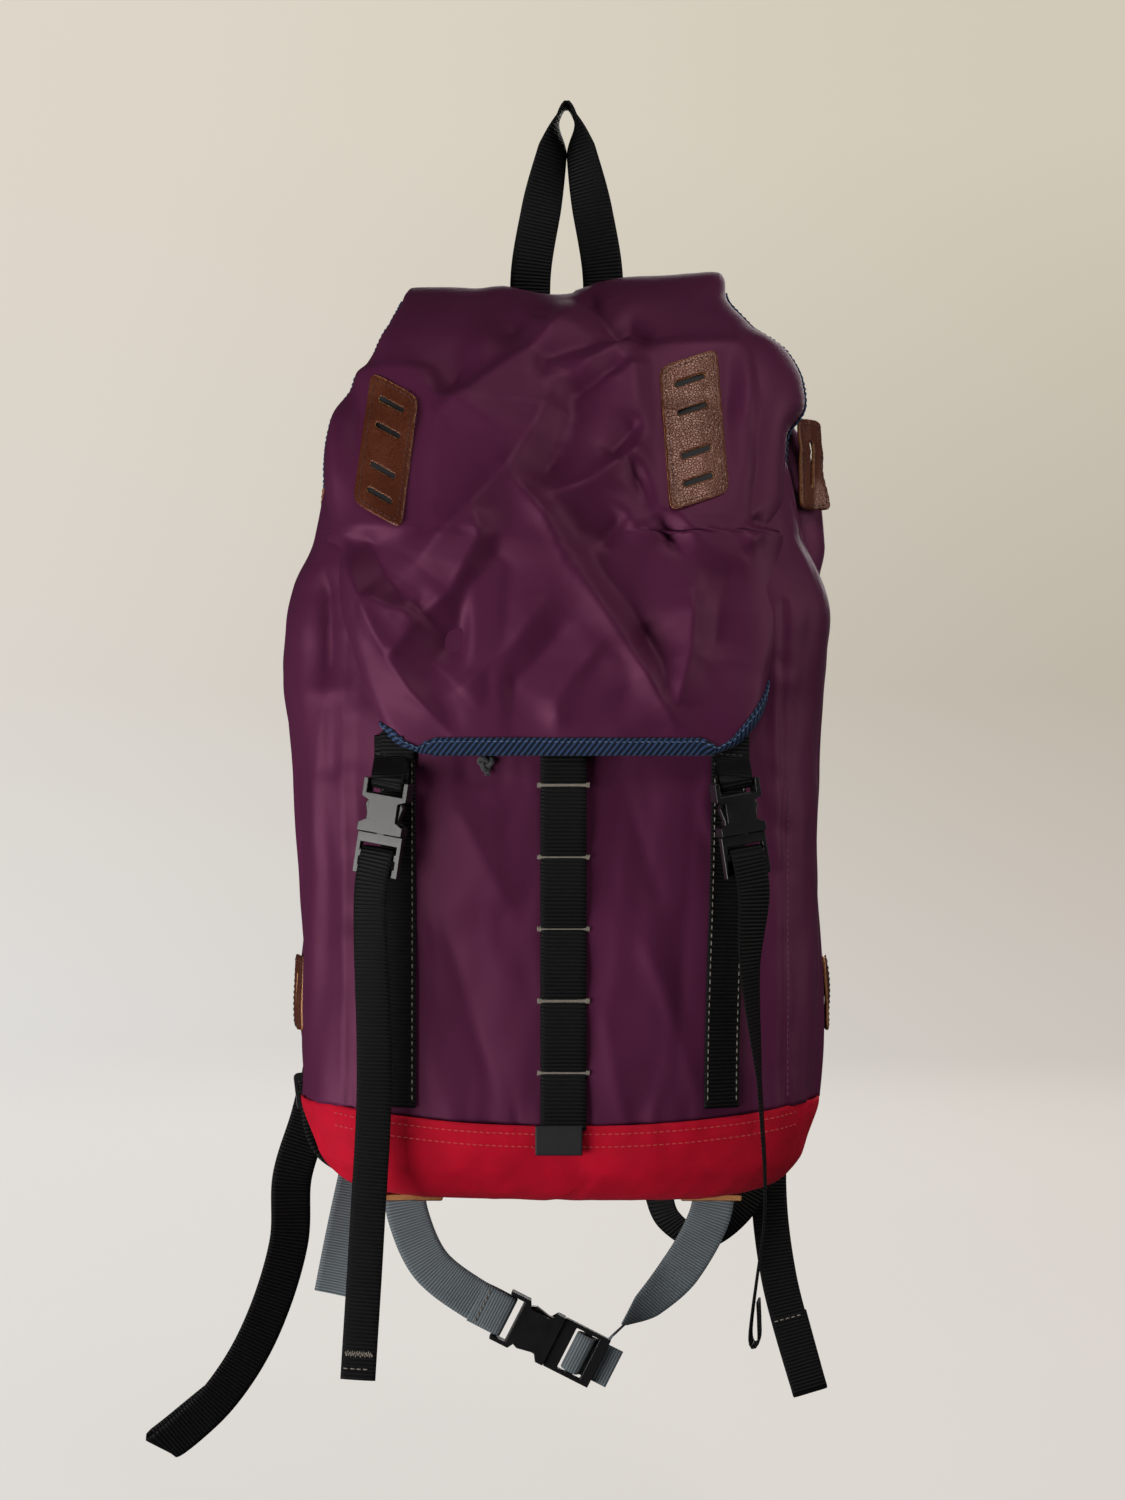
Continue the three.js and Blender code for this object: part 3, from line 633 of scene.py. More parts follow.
def spline(points, count):
    """A centripetal curve through the points, as evenly spaced points, and its length."""
    p = [Vector(q) for q in points]
    p = [p[0] * 2 - p[1], *p, p[-1] * 2 - p[-2]]
    parts = 24
    dense = []
    for k in range(1, len(p) - 2):
        t1, t2, t3 = (max((p[n + 1] - p[n]).length, 1e-6) ** 0.5 for n in (k - 1, k, k + 1))
        m1 = ((p[k] - p[k - 1]) / t1 - (p[k + 1] - p[k - 1]) / (t1 + t2) + (p[k + 1] - p[k]) / t2) * t2
        m2 = ((p[k + 1] - p[k]) / t2 - (p[k + 2] - p[k]) / (t2 + t3) + (p[k + 2] - p[k + 1]) / t3) * t2
        for part in range(parts):
            t = part / parts
            dense.append(p[k] * (2 * t**3 - 3 * t * t + 1) + m1 * (t**3 - 2 * t * t + t)
                         + p[k + 1] * (3 * t * t - 2 * t**3) + m2 * (t**3 - t * t))
    dense.append(p[-2])
    return spread(dense, count)


def steps(a, b, count):
    return [a + (b - a) * k / (count - 1) for k in range(count)]


def rounded_outline(width, height, radius, step=0.001):
    """Points of a rounded rectangle about the origin, evenly spaced."""
    points = []
    for cx, cy, start in ((1, 1, 0), (-1, 1, 90), (-1, -1, 180), (1, -1, 270)):
        for k in range(9):
            a = math.radians(start + 90 * k / 8)
            points.append(Vector((cx * (width / 2 - radius) + radius * math.cos(a),
                                  cy * (height / 2 - radius) + radius * math.sin(a))))
    return even_path([*points, points[0]], step)


def tube(path, radius, sides):
    """Vertices and faces of a round tube with closed ends."""
    verts = []
    side = Vector((0.3, 0.9, 0.1))
    for n, p in enumerate(path):
        along = (path[min(n + 1, len(path) - 1)] - path[max(n - 1, 0)]).normalized()
        side = (side - along * side.dot(along)).normalized()
        up = along.cross(side)
        for s in range(sides):
            a = 2 * math.pi * s / sides
            verts.append(p + side * (radius * math.cos(a)) + up * (radius * math.sin(a)))
    return verts, rounds(len(path), sides, caps=True)


# ------------------------------------------------------------------ small pieces: stitches and webbing

def stitches(name, path, normal, body, material, length=0.0024, gap=0.0011, thick=0.00042):
    """A row of sewn threads along a path of points, standing proud along normal(point)."""
    verts, faces = [], []
    sides, rings = 6, (-1, -0.6, 0, 0.6, 1)
    pitch = length + gap
    total = running(path)
    k = 0
    for n in range(int(total[-1] / pitch)):
        at = (n + 0.5) * pitch
        while k < len(total) - 2 and total[k + 1] < at:
            k += 1
        a, b = path[k], path[k + 1]
        along = (b - a).normalized()
        middle = a.lerp(b, (at - total[k]) / max(total[k + 1] - total[k], 1e-9))
        up = Vector(normal(middle)).normalized()
        side = along.cross(up).normalized()
        first = len(verts)
        for t in rings:
            r = thick * math.sqrt(max(1 - (t * 0.92) ** 2, 0.05))
            centre = middle + along * (t * length / 2) + up * (thick * 0.35 * (1 - t * t))
            for s in range(sides):
                angle = 2 * math.pi * s / sides
                verts.append(centre + side * (r * math.cos(angle)) + up * (r * math.sin(angle)))
        faces += rounds(len(rings), sides, first, caps=True)
    wear(mesh_object(name, verts, faces, material), body)


def strap(name, route, across, width, body, nodes=(), material="black_webbing", thick=WEB, step=0.002,
          ripple=0.0003, cup=0.0):
    """Webbing with round edges along a route; across gives its width's direction at each point of the route,
    or at evenly spread places along it."""
    _, length = spline(route, 3)
    count = max(8, int(length / step))
    centre, _ = spline(route, count)
    turns = [Vector(v).normalized() for v in across]
    marks = [k / (len(turns) - 1) for k in range(len(turns))]
    if len(turns) == len(route):
        chords = [(Vector(b) - Vector(a)).length for a, b in zip(route, route[1:])]
        marks = [sum(chords[:k]) / sum(chords) for k in range(len(route))]
    half, r = width / 2, thick / 2
    section = [(-half, 0), (-half + r * 0.6, r * 0.85)]
    section += [(-half + width * k / 8, r) for k in range(1, 8)]
    section += [(half - r * 0.6, r * 0.85), (half, 0), (half - r * 0.6, -r * 0.85)]
    section += [(half - width * k / 8, -r) for k in range(1, 8)]
    section += [(-half + r * 0.6, -r * 0.85)]
    verts, uvs, frames = [], [], []
    travelled = 0.0
    for n, at in enumerate(centre):
        ahead, behind = centre[min(n + 1, count - 1)], centre[max(n - 1, 0)]
        tangent = (ahead - behind).normalized()
        travelled += (at - centre[n - 1]).length if n else 0
        place = n / (count - 1)
        k = max(m for m in range(len(turns) - 1) if marks[m] <= place)
        wide = turns[k].lerp(turns[k + 1], (place - marks[k]) / max(marks[k + 1] - marks[k], 1e-9))
        wide = (wide - tangent * wide.dot(tangent)).normalized()
        up = tangent.cross(wide)
        wobble = ripple * noise.noise(Vector((travelled * 40, len(name), 0.5)))
        frames.append((at, wide, up))
        for x, y in section:
            verts.append(at + wide * x + up * (y + wobble + cup * (x / half) ** 2))
            uvs.append((x, travelled))
    item = mesh_object(name, verts, rounds(count, len(section), caps=True), material, uvs)
    wear(item, body, nodes)
    return frames


def facing(frame):
    """1 if a strap's upper face looks forward at this frame, -1 if its lower face does."""
    return 1 if frame[2].y < 0 else -1


def stitch_across(name, frames, index, width, body, side=1, material="grey_thread", thick=WEB):
    """A row of stitches across a strap at one of its frames."""
    at, wide, up = frames[index]
    lift = up * (side * thick / 2)
    path = [at + lift + wide * (width * (k / 10 - 0.5)) for k in range(11)]
    stitches(name, path, lambda p: up * side, body, material)


def stitch_along(name, frames, offset, body, side):
    """A row of stitches along a strap, offset from its middle."""
    path = [at + wide * offset + up * (side * WEB / 2) for at, wide, up in frames]
    up = frames[len(frames) // 2][2]
    stitches(name, path, lambda p: up * side, body, "grey_thread", length=0.0026, gap=0.0016, thick=0.00035)


# ------------------------------------------------------------------ hardware

def polished(node, body):
    """The CAD solid with its moulded edges rounded."""
    item = cad_copy(node, "_moulded", "buckle_plastic")
    mesh = bmesh.new()
    mesh.from_mesh(item.data)
    bmesh.ops.remove_doubles(mesh, verts=mesh.verts, dist=1e-6)
    bmesh.ops.dissolve_limit(mesh, angle_limit=math.radians(2), verts=mesh.verts, edges=mesh.edges)
    mesh.to_mesh(item.data)
    mesh.free()
    modifier(item, "BEVEL", width=0.0006, segments=3, limit_method="ANGLE", angle_limit=math.radians(28),
             harden_normals=False)
    apply_modifiers(item)
    for polygon in item.data.polygons:
        polygon.use_smooth = True
    modifier(item, "WEIGHTED_NORMAL", keep_sharp=False)
    wear(item, body, (node,))


def buckle(side, socket, plug, prongs):
    """A side-release buckle's socket, plug and two prongs, each on its own body."""
    bodies = {"socket": socket, "plug": plug, "prong_a": f"{prongs}_a", "prong_b": f"{prongs}_b"}
    for part, body in bodies.items():
        polished(f"{side}_buckle_{part}", body)


# ------------------------------------------------------------------ the sack

def even_angles(count, half=0.147, depth=0.078):
    """Angles round the section that give evenly spaced points, from the back's middle round to it again."""
    fine = 2400
    angles = [-math.pi + 2 * math.pi * k / fine for k in range(fine + 1)]
    points = [Vector((half * bend(math.sin(a)), -depth * bend(math.cos(a)))) for a in angles]
    lengths = running(points)
    found, k = [], 0
    for n in range(count):
        at = lengths[-1] * n / count
        while lengths[k + 1] < at:
            k += 1
        found.append(angles[k] + (at - lengths[k]) / (lengths[k + 1] - lengths[k]) * (angles[1] - angles[0]))
    return found


# How far the sack's sides stand outside the stations: height, left and right.
SACK_SWELL = [
    (-0.628, -0.004, -0.008), (-0.600, -0.002, -0.009), (-0.577, 0.001, -0.006), (-0.520, 0.003, -0.004),
    (-0.400, 0.002, -0.007), (-0.330, 0.010, -0.004), (-0.290, 0.008, 0.001), (-0.262, 0.001, 0.011),
    (-0.225, 0.002, 0.013), (-0.190, 0.004, 0.008), (-0.145, 0.0, 0.0),
]
LOWER_PATCH_Z = -0.52     # middle of the lower side patches
PATCH_BULGE = 0.006       # how far the sides swell behind them
SEAM_SAG = 0.010          # how far the middle of the front seam hangs below its ends
SHOULDER_DRAW = 0.010     # how far the right side is drawn in just ahead of its swell, under the lid's edge


def sack_point(angle, z):
    half, front, back = hermite(SACK, z)
    x = half * bend(math.sin(angle))
    y = (front + back) / 2 - (back - front) / 2 * bend(math.cos(angle))
    left, right = hermite(SACK_SWELL, z)
    side = smooth(0.55, 1.0, abs(x) / half)
    if x < 0:
        x -= left * side
    else:
        shoulder = smooth(-0.310, -0.262, z) * (1 - smooth(-0.200, -0.165, z))
        behind = smooth(-0.078, -0.038, y)
        x += side * (right * (1 - shoulder) + shoulder * (right * behind - SHOULDER_DRAW * (1 - behind)))
    return Vector((x, y, z))


SACK_FOLDS = [
    Fold([(-0.119, -0.335), (-0.120, -0.565)], 0.006, 0.0032, lean=0.4),
    Fold([(0.116, -0.340), (0.120, -0.560)], 0.006, 0.0028, lean=-0.4),
    Fold([(-0.100, -0.400), (-0.108, -0.520)], 0.010, -0.0030),
    Fold([(-0.137, -0.280), (-0.134, -0.350)], 0.008, -0.0100),
    Fold([(-0.132, -0.350), (-0.128, -0.400)], 0.010, -0.0040),
    Fold([(-0.131, -0.330), (-0.139, -0.440)], 0.008, 0.0035),
    Fold([(0.070, -0.400), (0.060, -0.540)], 0.014, -0.0022),
    Fold([(0.098, -0.420), (0.104, -0.540)], 0.009, -0.0028),
    Fold([(-0.060, -0.410), (-0.030, -0.470)], 0.012, 0.0030),
    Fold([(-0.070, -0.470), (-0.040, -0.560)], 0.013, -0.0024),
    Fold([(0.030, -0.400), (0.052, -0.470)], 0.012, -0.0026),
    Fold([(0.040, -0.480), (0.072, -0.565)], 0.010, 0.0024),
    Fold([(0.020, -0.520), (0.030, -0.572)], 0.008, 0.0018),
    Fold([(-0.030, -0.400), (-0.062, -0.398)], 0.010, -0.0020),
]


def sack_relief(p):
    """How far the nylon of the sack stands out of its section at a point."""
    x, y, z = p
    on_front = smooth(-0.06, -0.12, y)
    lift = on_front * sum(f.at(x, z) for f in SACK_FOLDS)
    side = 1 - smooth(-0.135, -0.120, y) if y < -0.1 else 1.0
    # long soft folds down the sides, then slow and fine unevenness all over
    lift += side * 0.0035 * crumple(y * 1.3, z, 0.035, 0.11, 3.1 if x < 0 else 8.4)
    lift += 0.0022 * crumple(x + y, z, 0.07, 0.10, 1.7)
    lift += 0.0006 * crumple(x + y, z, 0.014, 0.028, 5.2)
    if y < -0.02:                     # puckers just above the seam over the base
        near_seam = math.exp(-((z - SEAM_Z) / 0.012) ** 2)
        lift += near_seam * 0.0011 * crumple(x + y * 1.4, z, 0.0075, 0.05, 9.3)
    if z < -0.30:                     # the sunk seams between front and sides, and the puckers beside them
        seam = abs(abs(x) - SEAM_X)
        if y < -0.08:
            lift -= 0.0016 * math.exp(-(seam / 0.0022) ** 2)
            lift += 0.0010 * math.exp(-(seam / 0.009) ** 2) * crumple(x, z, 0.03, 0.016, 2.2)
    at_patch = smooth(-0.092, -0.055, y) * (1 - smooth(-0.050, -0.015, y))
    lift += PATCH_BULGE * at_patch * math.exp(-((z - LOWER_PATCH_Z) / 0.04) ** 2)
    flat_back = smooth(-0.02, -0.004, y)
    collar = smooth(-0.165, -0.147, z)
    return lift * (1 - flat_back) * (1 - collar)


def seam_sag(p):
    """The front hangs lowest in its middle, so the seam over the base curves down there."""
    middle = 1 - min(abs(p.x) / 0.130, 1) ** 2
    near = smooth(-0.480, SEAM_Z, p.z) if p.z > SEAM_Z else 1 - 0.8 * smooth(SEAM_Z, -0.626, p.z)
    return Vector((0, 0, -SEAM_SAG * middle * near * smooth(-0.070, -0.140, p.y)))


def sag(item):
    for v in item.data.vertices:
        v.co += seam_sag(v.co)
    item.data.update()


def sack_sheet(name, low, high, rows, columns, material):
    angles = even_angles(columns)
    heights = [low + (high - low) * j / (rows - 1) for j in range(rows)]
    return grid(name, rows, columns, lambda j, i: sack_point(angles[i], heights[j]), material, wrap=True)


def make_sack():
    fine = 1.0
    body = sack_sheet("sack_nylon", SEAM_Z + 0.0005, SACK_TOP, int(170 * fine), int(330 * fine), "plum_nylon")
    push(body, sack_relief)
    sag(body)
    thicken(body)
    wear(body, "pack", ("front_panel", "side_panel_left", "side_panel_right", "rear_panel"))
    for name, side in (("left", -1), ("right", 1)):
        path = []
        for z in steps(-0.572, -0.400, 90):
            x = side * SEAM_SHARE * hermite(SACK, z)[0] * 1.028
            y = front_y(SACK, x, z)
            path.append(Vector((x, y - sack_relief((x, y, z)) - 0.0002, z)))
        stitches(f"gusset_stitch_{name}", path, lambda p: (2.5 * p.x, -1, 0), "pack", "plum_thread",
                 thick=0.0003)


def base_relief(p):
    x, y, z = p
    lift = 0.0016 * crumple(x + y, z, 0.06, 0.045, 4.4) + 0.0005 * crumple(x + y, z, 0.012, 0.02, 6.1)
    near_seam = math.exp(-((z - SEAM_Z) / 0.010) ** 2)
    lift += near_seam * 0.0010 * crumple(x + y * 1.4, z, 0.0075, 0.05, 9.3)
    return lift * (1 - smooth(-0.02, -0.004, y))


def make_base():
    """The red base: a wall that laps over the nylon at the seam, and a bottom that closes it."""
    columns = 300
    angles = even_angles(columns)
    lap = 0.0013
    middle_y = -0.071
    wall = [[sack_point(a, z) for a in angles] for z in steps(SEAM_Z + 0.001, -0.6262, 26)]
    rings = []
    for share in (0.08, 0.25, 0.45, 0.65, 0.8, 0.90, 0.955, 0.985):
        drop = -0.6282 if share < 0.96 else -0.6276
        rings.append([Vector((p.x * share, middle_y + (p.y - middle_y) * share, drop)) for p in wall[-1]])
    rings += wall[::-1]
    verts = [p for ring in rings for p in ring]
    base = mesh_object("red_base", verts, [tuple(range(columns)), *rounds(len(rings), columns)], "red_twill")
    push(base, lambda p: lap + base_relief(p) if p.z > -0.627 else 0.0)
    sag(base)
    thicken(base, 0.0014)
    wear(base, "pack", ("base_panel",))
    surface = surface_of(base)
    for drop in (0.0035, 0.0105):
        path = []
        for x in steps(-0.128, 0.128, 150):
            z = SEAM_Z - drop + seam_sag(Vector((x, -0.15, SEAM_Z))).z
            path.append(on_surface(surface, (x, -0.4, z), (0, 1, 0)))
        stitches(f"base_stitch_{int(drop * 10000)}", path, lambda p: (p.x * 2, -1, 0), "pack", "red_thread",
                 thick=0.00035)


def surface_of(*items):
    """What rays hit: the shown surface of these objects."""
    graph = bpy.context.evaluated_depsgraph_get()
    verts, faces = [], []
    for item in items:
        mesh = item.evaluated_get(graph).to_mesh()
        first = len(verts)
        verts += [v.co.copy() for v in mesh.vertices]
        faces += [[first + n for n in polygon.vertices] for polygon in mesh.polygons]
        item.evaluated_get(graph).to_mesh_clear()
    return BVHTree.FromPolygons(verts, faces)


def on_surface(tree, start, direction, off=0.0):
    """Where a ray meets the surface, and off short of it."""
    hit = tree.ray_cast(Vector(start), Vector(direction).normalized())[0]
    if hit is None:
        raise RuntimeError(f"no surface from {start}")
    return hit - Vector(direction).normalized() * off


def on_front(tree, x, z, off=0.0):
    """The surface's point as seen from the front at x and z."""
    return on_surface(tree, (x, -0.5, z), (0, 1, 0), off)


# ------------------------------------------------------------------ the lid

# How far the lid's two halves keep to their section: height, left share and right share.
LID_SHARES = [
    (-0.400, 0.93, 0.88), (-0.262, 0.950, 0.860), (-0.228, 0.985, 0.900), (-0.203, 0.975, 0.920),
    (-0.180, 0.955, 0.980), (-0.168, 0.940, 1.000), (-0.154, 0.910, 0.990), (-0.139, 0.915, 0.900),
    (-0.124, 0.945, 0.880), (-0.110, 0.99, 0.93), (-0.100, 1.0, 0.95),
]
CURL = 0.008              # radius of the flap's turned-back side edges

LID_FOLDS = [
    # the ridge from the top's middle to the left patch, steep on its upper left, and the hollow there
    Fold([(0.002, -0.125), (-0.004, -0.144), (-0.018, -0.158), (-0.036, -0.170),
          (-0.070, -0.196)], 0.016, 0.0106, lean=0.45),
    Fold([(-0.021, -0.134), (-0.039, -0.147), (-0.058, -0.165), (-0.071, -0.184)], 0.022, -0.0135),
    # small folds between the haul loop and the right patch
    Fold([(0.015, -0.116), (0.014, -0.129), (0.024, -0.141), (0.046, -0.154)], 0.006, -0.0061),
    Fold([(0.048, -0.150), (0.036, -0.140), (0.009, -0.156), (-0.012, -0.164),
          (-0.015, -0.175)], 0.006, -0.0068),
    Fold([(0.003, -0.174), (0.022, -0.161), (0.041, -0.149)], 0.006, 0.0052),
    Fold([(0.001, -0.183), (0.017, -0.175), (0.032, -0.165)], 0.005, -0.0065),
    Fold([(0.017, -0.180), (0.035, -0.170), (0.068, -0.158)], 0.006, 0.0040),
    # the valley down the middle and the ridge on its left
    Fold([(-0.001, -0.175), (0.003, -0.194), (-0.005, -0.214), (-0.017, -0.237)], 0.013, -0.0108),
    Fold([(-0.008, -0.184), (-0.016, -0.205), (-0.029, -0.224), (-0.046, -0.244),
          (-0.081, -0.281)], 0.014, 0.0100),
    # creases left of the right patch
    Fold([(0.042, -0.212), (0.032, -0.222), (0.015, -0.235), (-0.006, -0.244)], 0.006, 0.0060),
    Fold([(0.040, -0.197), (0.031, -0.210), (0.022, -0.221)], 0.006, -0.0068),
    Fold([(0.033, -0.222), (0.046, -0.244), (0.062, -0.274)], 0.006, -0.0092),
    Fold([(0.041, -0.217), (0.054, -0.239), (0.069, -0.266)], 0.008, 0.0050),
    Fold([(0.016, -0.270), (0.023, -0.262), (0.032, -0.254)], 0.006, -0.0051),
    Fold([(0.052, -0.268), (0.045, -0.255), (0.028, -0.259)], 0.008, 0.0035),
    # the long diagonal ridge down to the right, and the valley above it
    Fold([(-0.030, -0.234), (-0.011, -0.258), (0.010, -0.290), (0.034, -0.325),
          (0.058, -0.367)], 0.011, 0.0119),
    Fold([(-0.003, -0.250), (0.015, -0.279), (0.036, -0.307), (0.051, -0.336)], 0.018, -0.0105),
    # the star at the lower left, and the hollows beside it
    Fold([(-0.050, -0.254), (-0.047, -0.268), (-0.063, -0.296), (-0.078, -0.308)], 0.010, 0.0083),
    Fold([(-0.037, -0.266), (-0.042, -0.290), (-0.055, -0.316), (-0.072, -0.333)], 0.020, -0.0103),
    Fold([(-0.078, -0.308), (-0.087, -0.320), (-0.096, -0.332)], 0.007, 0.0063),
    Fold([(-0.080, -0.308), (-0.094, -0.305), (-0.109, -0.298)], 0.008, 0.0055),
    Fold([(-0.011, -0.299), (-0.029, -0.323), (-0.059, -0.351)], 0.014, 0.0056),
    Fold([(0.002, -0.312), (-0.016, -0.333), (-0.037, -0.355)], 0.014, -0.0051),
    # the ridge down the left edge
    Fold([(-0.125, -0.267), (-0.110, -0.300), (-0.097, -0.330), (-0.083, -0.351),
          (-0.063, -0.373)], 0.009, 0.0075),
    Fold([(-0.117, -0.254), (-0.101, -0.285), (-0.087, -0.303)], 0.014, -0.0074),
    # the V at the lower right
    Fold([(0.069, -0.294), (0.067, -0.325), (0.059, -0.357)], 0.009, 0.0083),
    Fold([(0.041, -0.312), (0.050, -0.333), (0.055, -0.357)], 0.012, -0.0055),
    Fold([(0.093, -0.277), (0.084, -0.303), (0.080, -0.333)], 0.014, -0.0051),
    # the right dart's pucker, and the line where the side begins
    Fold([(0.095, -0.271), (0.106, -0.263), (0.121, -0.262)], 0.007, 0.0063),
    Fold([(0.103, -0.254), (0.111, -0.259), (0.122, -0.257)], 0.0045, -0.0068),
    Fold([(0.104, -0.158), (0.110, -0.195), (0.108, -0.227), (0.103, -0.254)], 0.008, -0.0043),
    # a small one rising from the hem
    Fold([(0.018, -0.324), (0.002, -0.342), (-0.006, -0.355), (-0.005, -0.372)], 0.006, 0.0042),
]
# The lid's patches, under which the cloth lies flat: middle x and z, half width and half height.
PATCH_AREAS = [(-0.100, -0.216, 0.022, 0.045), (0.070, -0.205, 0.024, 0.048)]

# How far the lid's top stands over its section: low in the middle, high at the right corner.
LID_TOP = [(-0.100, -0.0052), (-0.033, -0.0070), (-0.010, -0.0095), (0.0, -0.0102), (0.020, -0.0043),
           (0.055, -0.0015), (0.089, 0.0038)]


def lid_surface(angle, station):
    """A point of the lid at an angle of the section; station holds half width, front and height."""
    half, front, z = station
    x = half * bend(math.sin(angle))
    y = (front + LID_BACK) / 2 - (LID_BACK - front) / 2 * bend(math.cos(angle))
    share = hermite(LID_SHARES, z)[0 if x < 0 else 1]
    x *= 1 + (share - 1) * smooth(0.3, 1.0, abs(x) / half)
    if z < DART_Z:
        start = hermite(FLAP_EDGE, z)[0] - CURL
        turn = (abs(x) - start) / CURL
        if turn > 0:
            strength = smooth(DART_Z, DART_Z - 0.025, z)
            curled = start + CURL * math.sin(min(turn, 1.6))
            x = math.copysign(abs(x) + (curled - abs(x)) * strength, x)
            y += strength * (CURL * (1 - math.cos(min(turn, 1.6))) + CURL * max(turn - 1.6, 0))
    tuck = smooth(1.0, 1.5, abs(angle)) * smooth(DART_Z - 0.01, DART_Z + 0.02, z)
    if x > 0:
        tuck *= 1 - smooth(-0.205, -0.185, z)
    x *= 1 - 0.04 * tuck
    z += hermite(LID_TOP, x)[0] * smooth(-0.150, -0.108, z)
    return Vector((x, y, z))


def lid_relief(p):
    """How far the nylon of the lid stands out of its section at a point."""
    x, y, z = p
    lift = sum(f.at(x, z) for f in LID_FOLDS)
    lift += 0.0038 * crumple(x, z, 0.060, 0.060, 2.9)
    lift += 0.0010 * crumple(x, z, 0.022, 0.022, 7.7)
    # it clears the cord lock under it, lies flat under the patches, calms towards the hem and clears the cord
    over_lock = math.exp(-((x + 0.046) / 0.016) ** 2 - ((z + 0.153) / 0.022) ** 2)
    lift += over_lock * max(-0.0025 - lift, 0)
    for cx, cz, wide, high in PATCH_AREAS:
        inside = 1 - smooth(wide * 0.8, wide * 1.4, abs(x - cx))
        inside *= 1 - smooth(high * 0.9, high * 1.2, abs(z - cz))
        if inside > 0:
            above, below = front_y(LID, x, cz + high), front_y(LID, x, cz - high)
            share = min(max((z - cz + high) / (2 * high), 0), 1)
            sunk = front_y(LID, x, z) - (below + (above - below) * share)
            lift += (sunk * 0.9 - lift) * inside
    lift *= 0.35 + 0.65 * smooth(HEM_Z, HEM_Z + 0.022, z)
    over_cord = (1 - smooth(0.006, 0.016, abs(x - CORD_ROUTE[-1][0]))) * (1 - smooth(-0.285, -0.265, z))
    lift += over_cord * max(-0.0005 - lift, 0)
    return lift * smooth(-0.012, -0.030, y)


def limit_angle(station):
    """The angle of the section at which the lid's side edge lies."""
    _, front, z = station
    y = hermite(LID_EDGE, max(z, DART_Z))[0]
    k = ((front + LID_BACK) / 2 - y) / ((LID_BACK - front) / 2)
    return math.acos(math.copysign(min(abs(k), 1) ** (SQUARENESS / 2), k))


def flap_angle(station, side):
    """The flap's edge as an angle of the section; the cloth runs on past the outline where it turns back."""
    half, _, z = station
    wide = hermite(FLAP_EDGE, z)[0]
    wide += 0.011 * smooth(-0.380, -0.366, z) if side < 0 else 0.010 * smooth(-0.374, -0.340, z)
    share = 1 - (1 - hermite(LID_SHARES, z)[0 if side < 0 else 1]) * smooth(0.3, 1.0, wide / half)
    return math.asin(min(wide / share / half, 1) ** (SQUARENESS / 2))


def lid_mesh():
    """The lid's nylon as one sheet: a middle that runs down to the hem, and two sides that end at the darts.
    Returns the object and the vertex numbers of its edges: the left side, the flap and the right side."""
    step = 0.0017
    path = [Vector((half, front, z)) for z, half, front, _ in reversed(LID)]
    _, length = spline(path, 3)
    count = int(length / step)
    stations, _ = spline(path, count)
    stations = [s for s in stations if s.z > HEM_Z] + [Vector((0.1580, -0.165, HEM_Z))]
    last_side = max(j for j, s in enumerate(stations) if s.z > DART_Z)
    columns, side_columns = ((168, 48))
    verts, ids = [], {}
    for j, s in enumerate(stations):
        outer = limit_angle(s) if j <= last_side else 0
        inner = [flap_angle(s, side) for side in (-1, 1)]
        if j <= last_side:
            inner = [min(angle, outer * 0.72) for angle in inner]
        for i in range(columns + 1):
            t = 2 * i / columns - 1
            angle = inner[0 if t < 0 else 1] * math.copysign(abs(t) ** 1.25, t)
            ids[j, i + side_columns] = len(verts)
            verts.append(lid_surface(angle, s))
        if j > last_side:
            continue
        for k in range(side_columns):
            t = (k + 1) / side_columns
            ids[j, side_columns - 1 - k] = len(verts)
            verts.append(lid_surface(-inner[0] - (outer - inner[0]) * t, s))
            ids[j, side_columns + columns + 1 + k] = len(verts)
            verts.append(lid_surface(inner[1] + (outer - inner[1]) * t, s))
    faces = []
    wide = columns + 2 * side_columns
    for j, (y, drop) in enumerate(LID_REAR):
        for i in range(wide + 1):
            top = verts[ids[0, i]]
            ids[-1 - j, i] = len(verts)
            verts.append(Vector((top.x * (1 - 0.006 * j), y, top.z - drop)))
    for j in range(-len(LID_REAR), len(stations) - 1):
        for i in range(wide):
            corners = [(j, i), (j + 1, i), (j + 1, i + 1), (j, i + 1)]
            if all(c in ids for c in corners):
                faces.append([ids[c] for c in corners])
    item = mesh_object("lid_nylon", verts, faces, "plum_nylon")
    rows = len(stations) - 1
    left_side = [ids[j, 0] for j in range(0, last_side + 1)]
    left_flap = [ids[j, side_columns] for j in range(last_side + 1, rows + 1)]
    hem = [ids[rows, side_columns + i] for i in range(1, columns)]
    right_flap = [ids[j, side_columns + columns] for j in range(rows, last_side, -1)]
    right_side = [ids[j, wide] for j in range(last_side, -1, -1)]
    return item, left_side, left_flap + hem + right_flap, right_side


def outward(point, normal):
    """The normal turned away from the middle of the pack."""
    away = Vector((point.x, point.y + 0.07, 0))
    return normal if away.dot(normal) > 0 else -normal


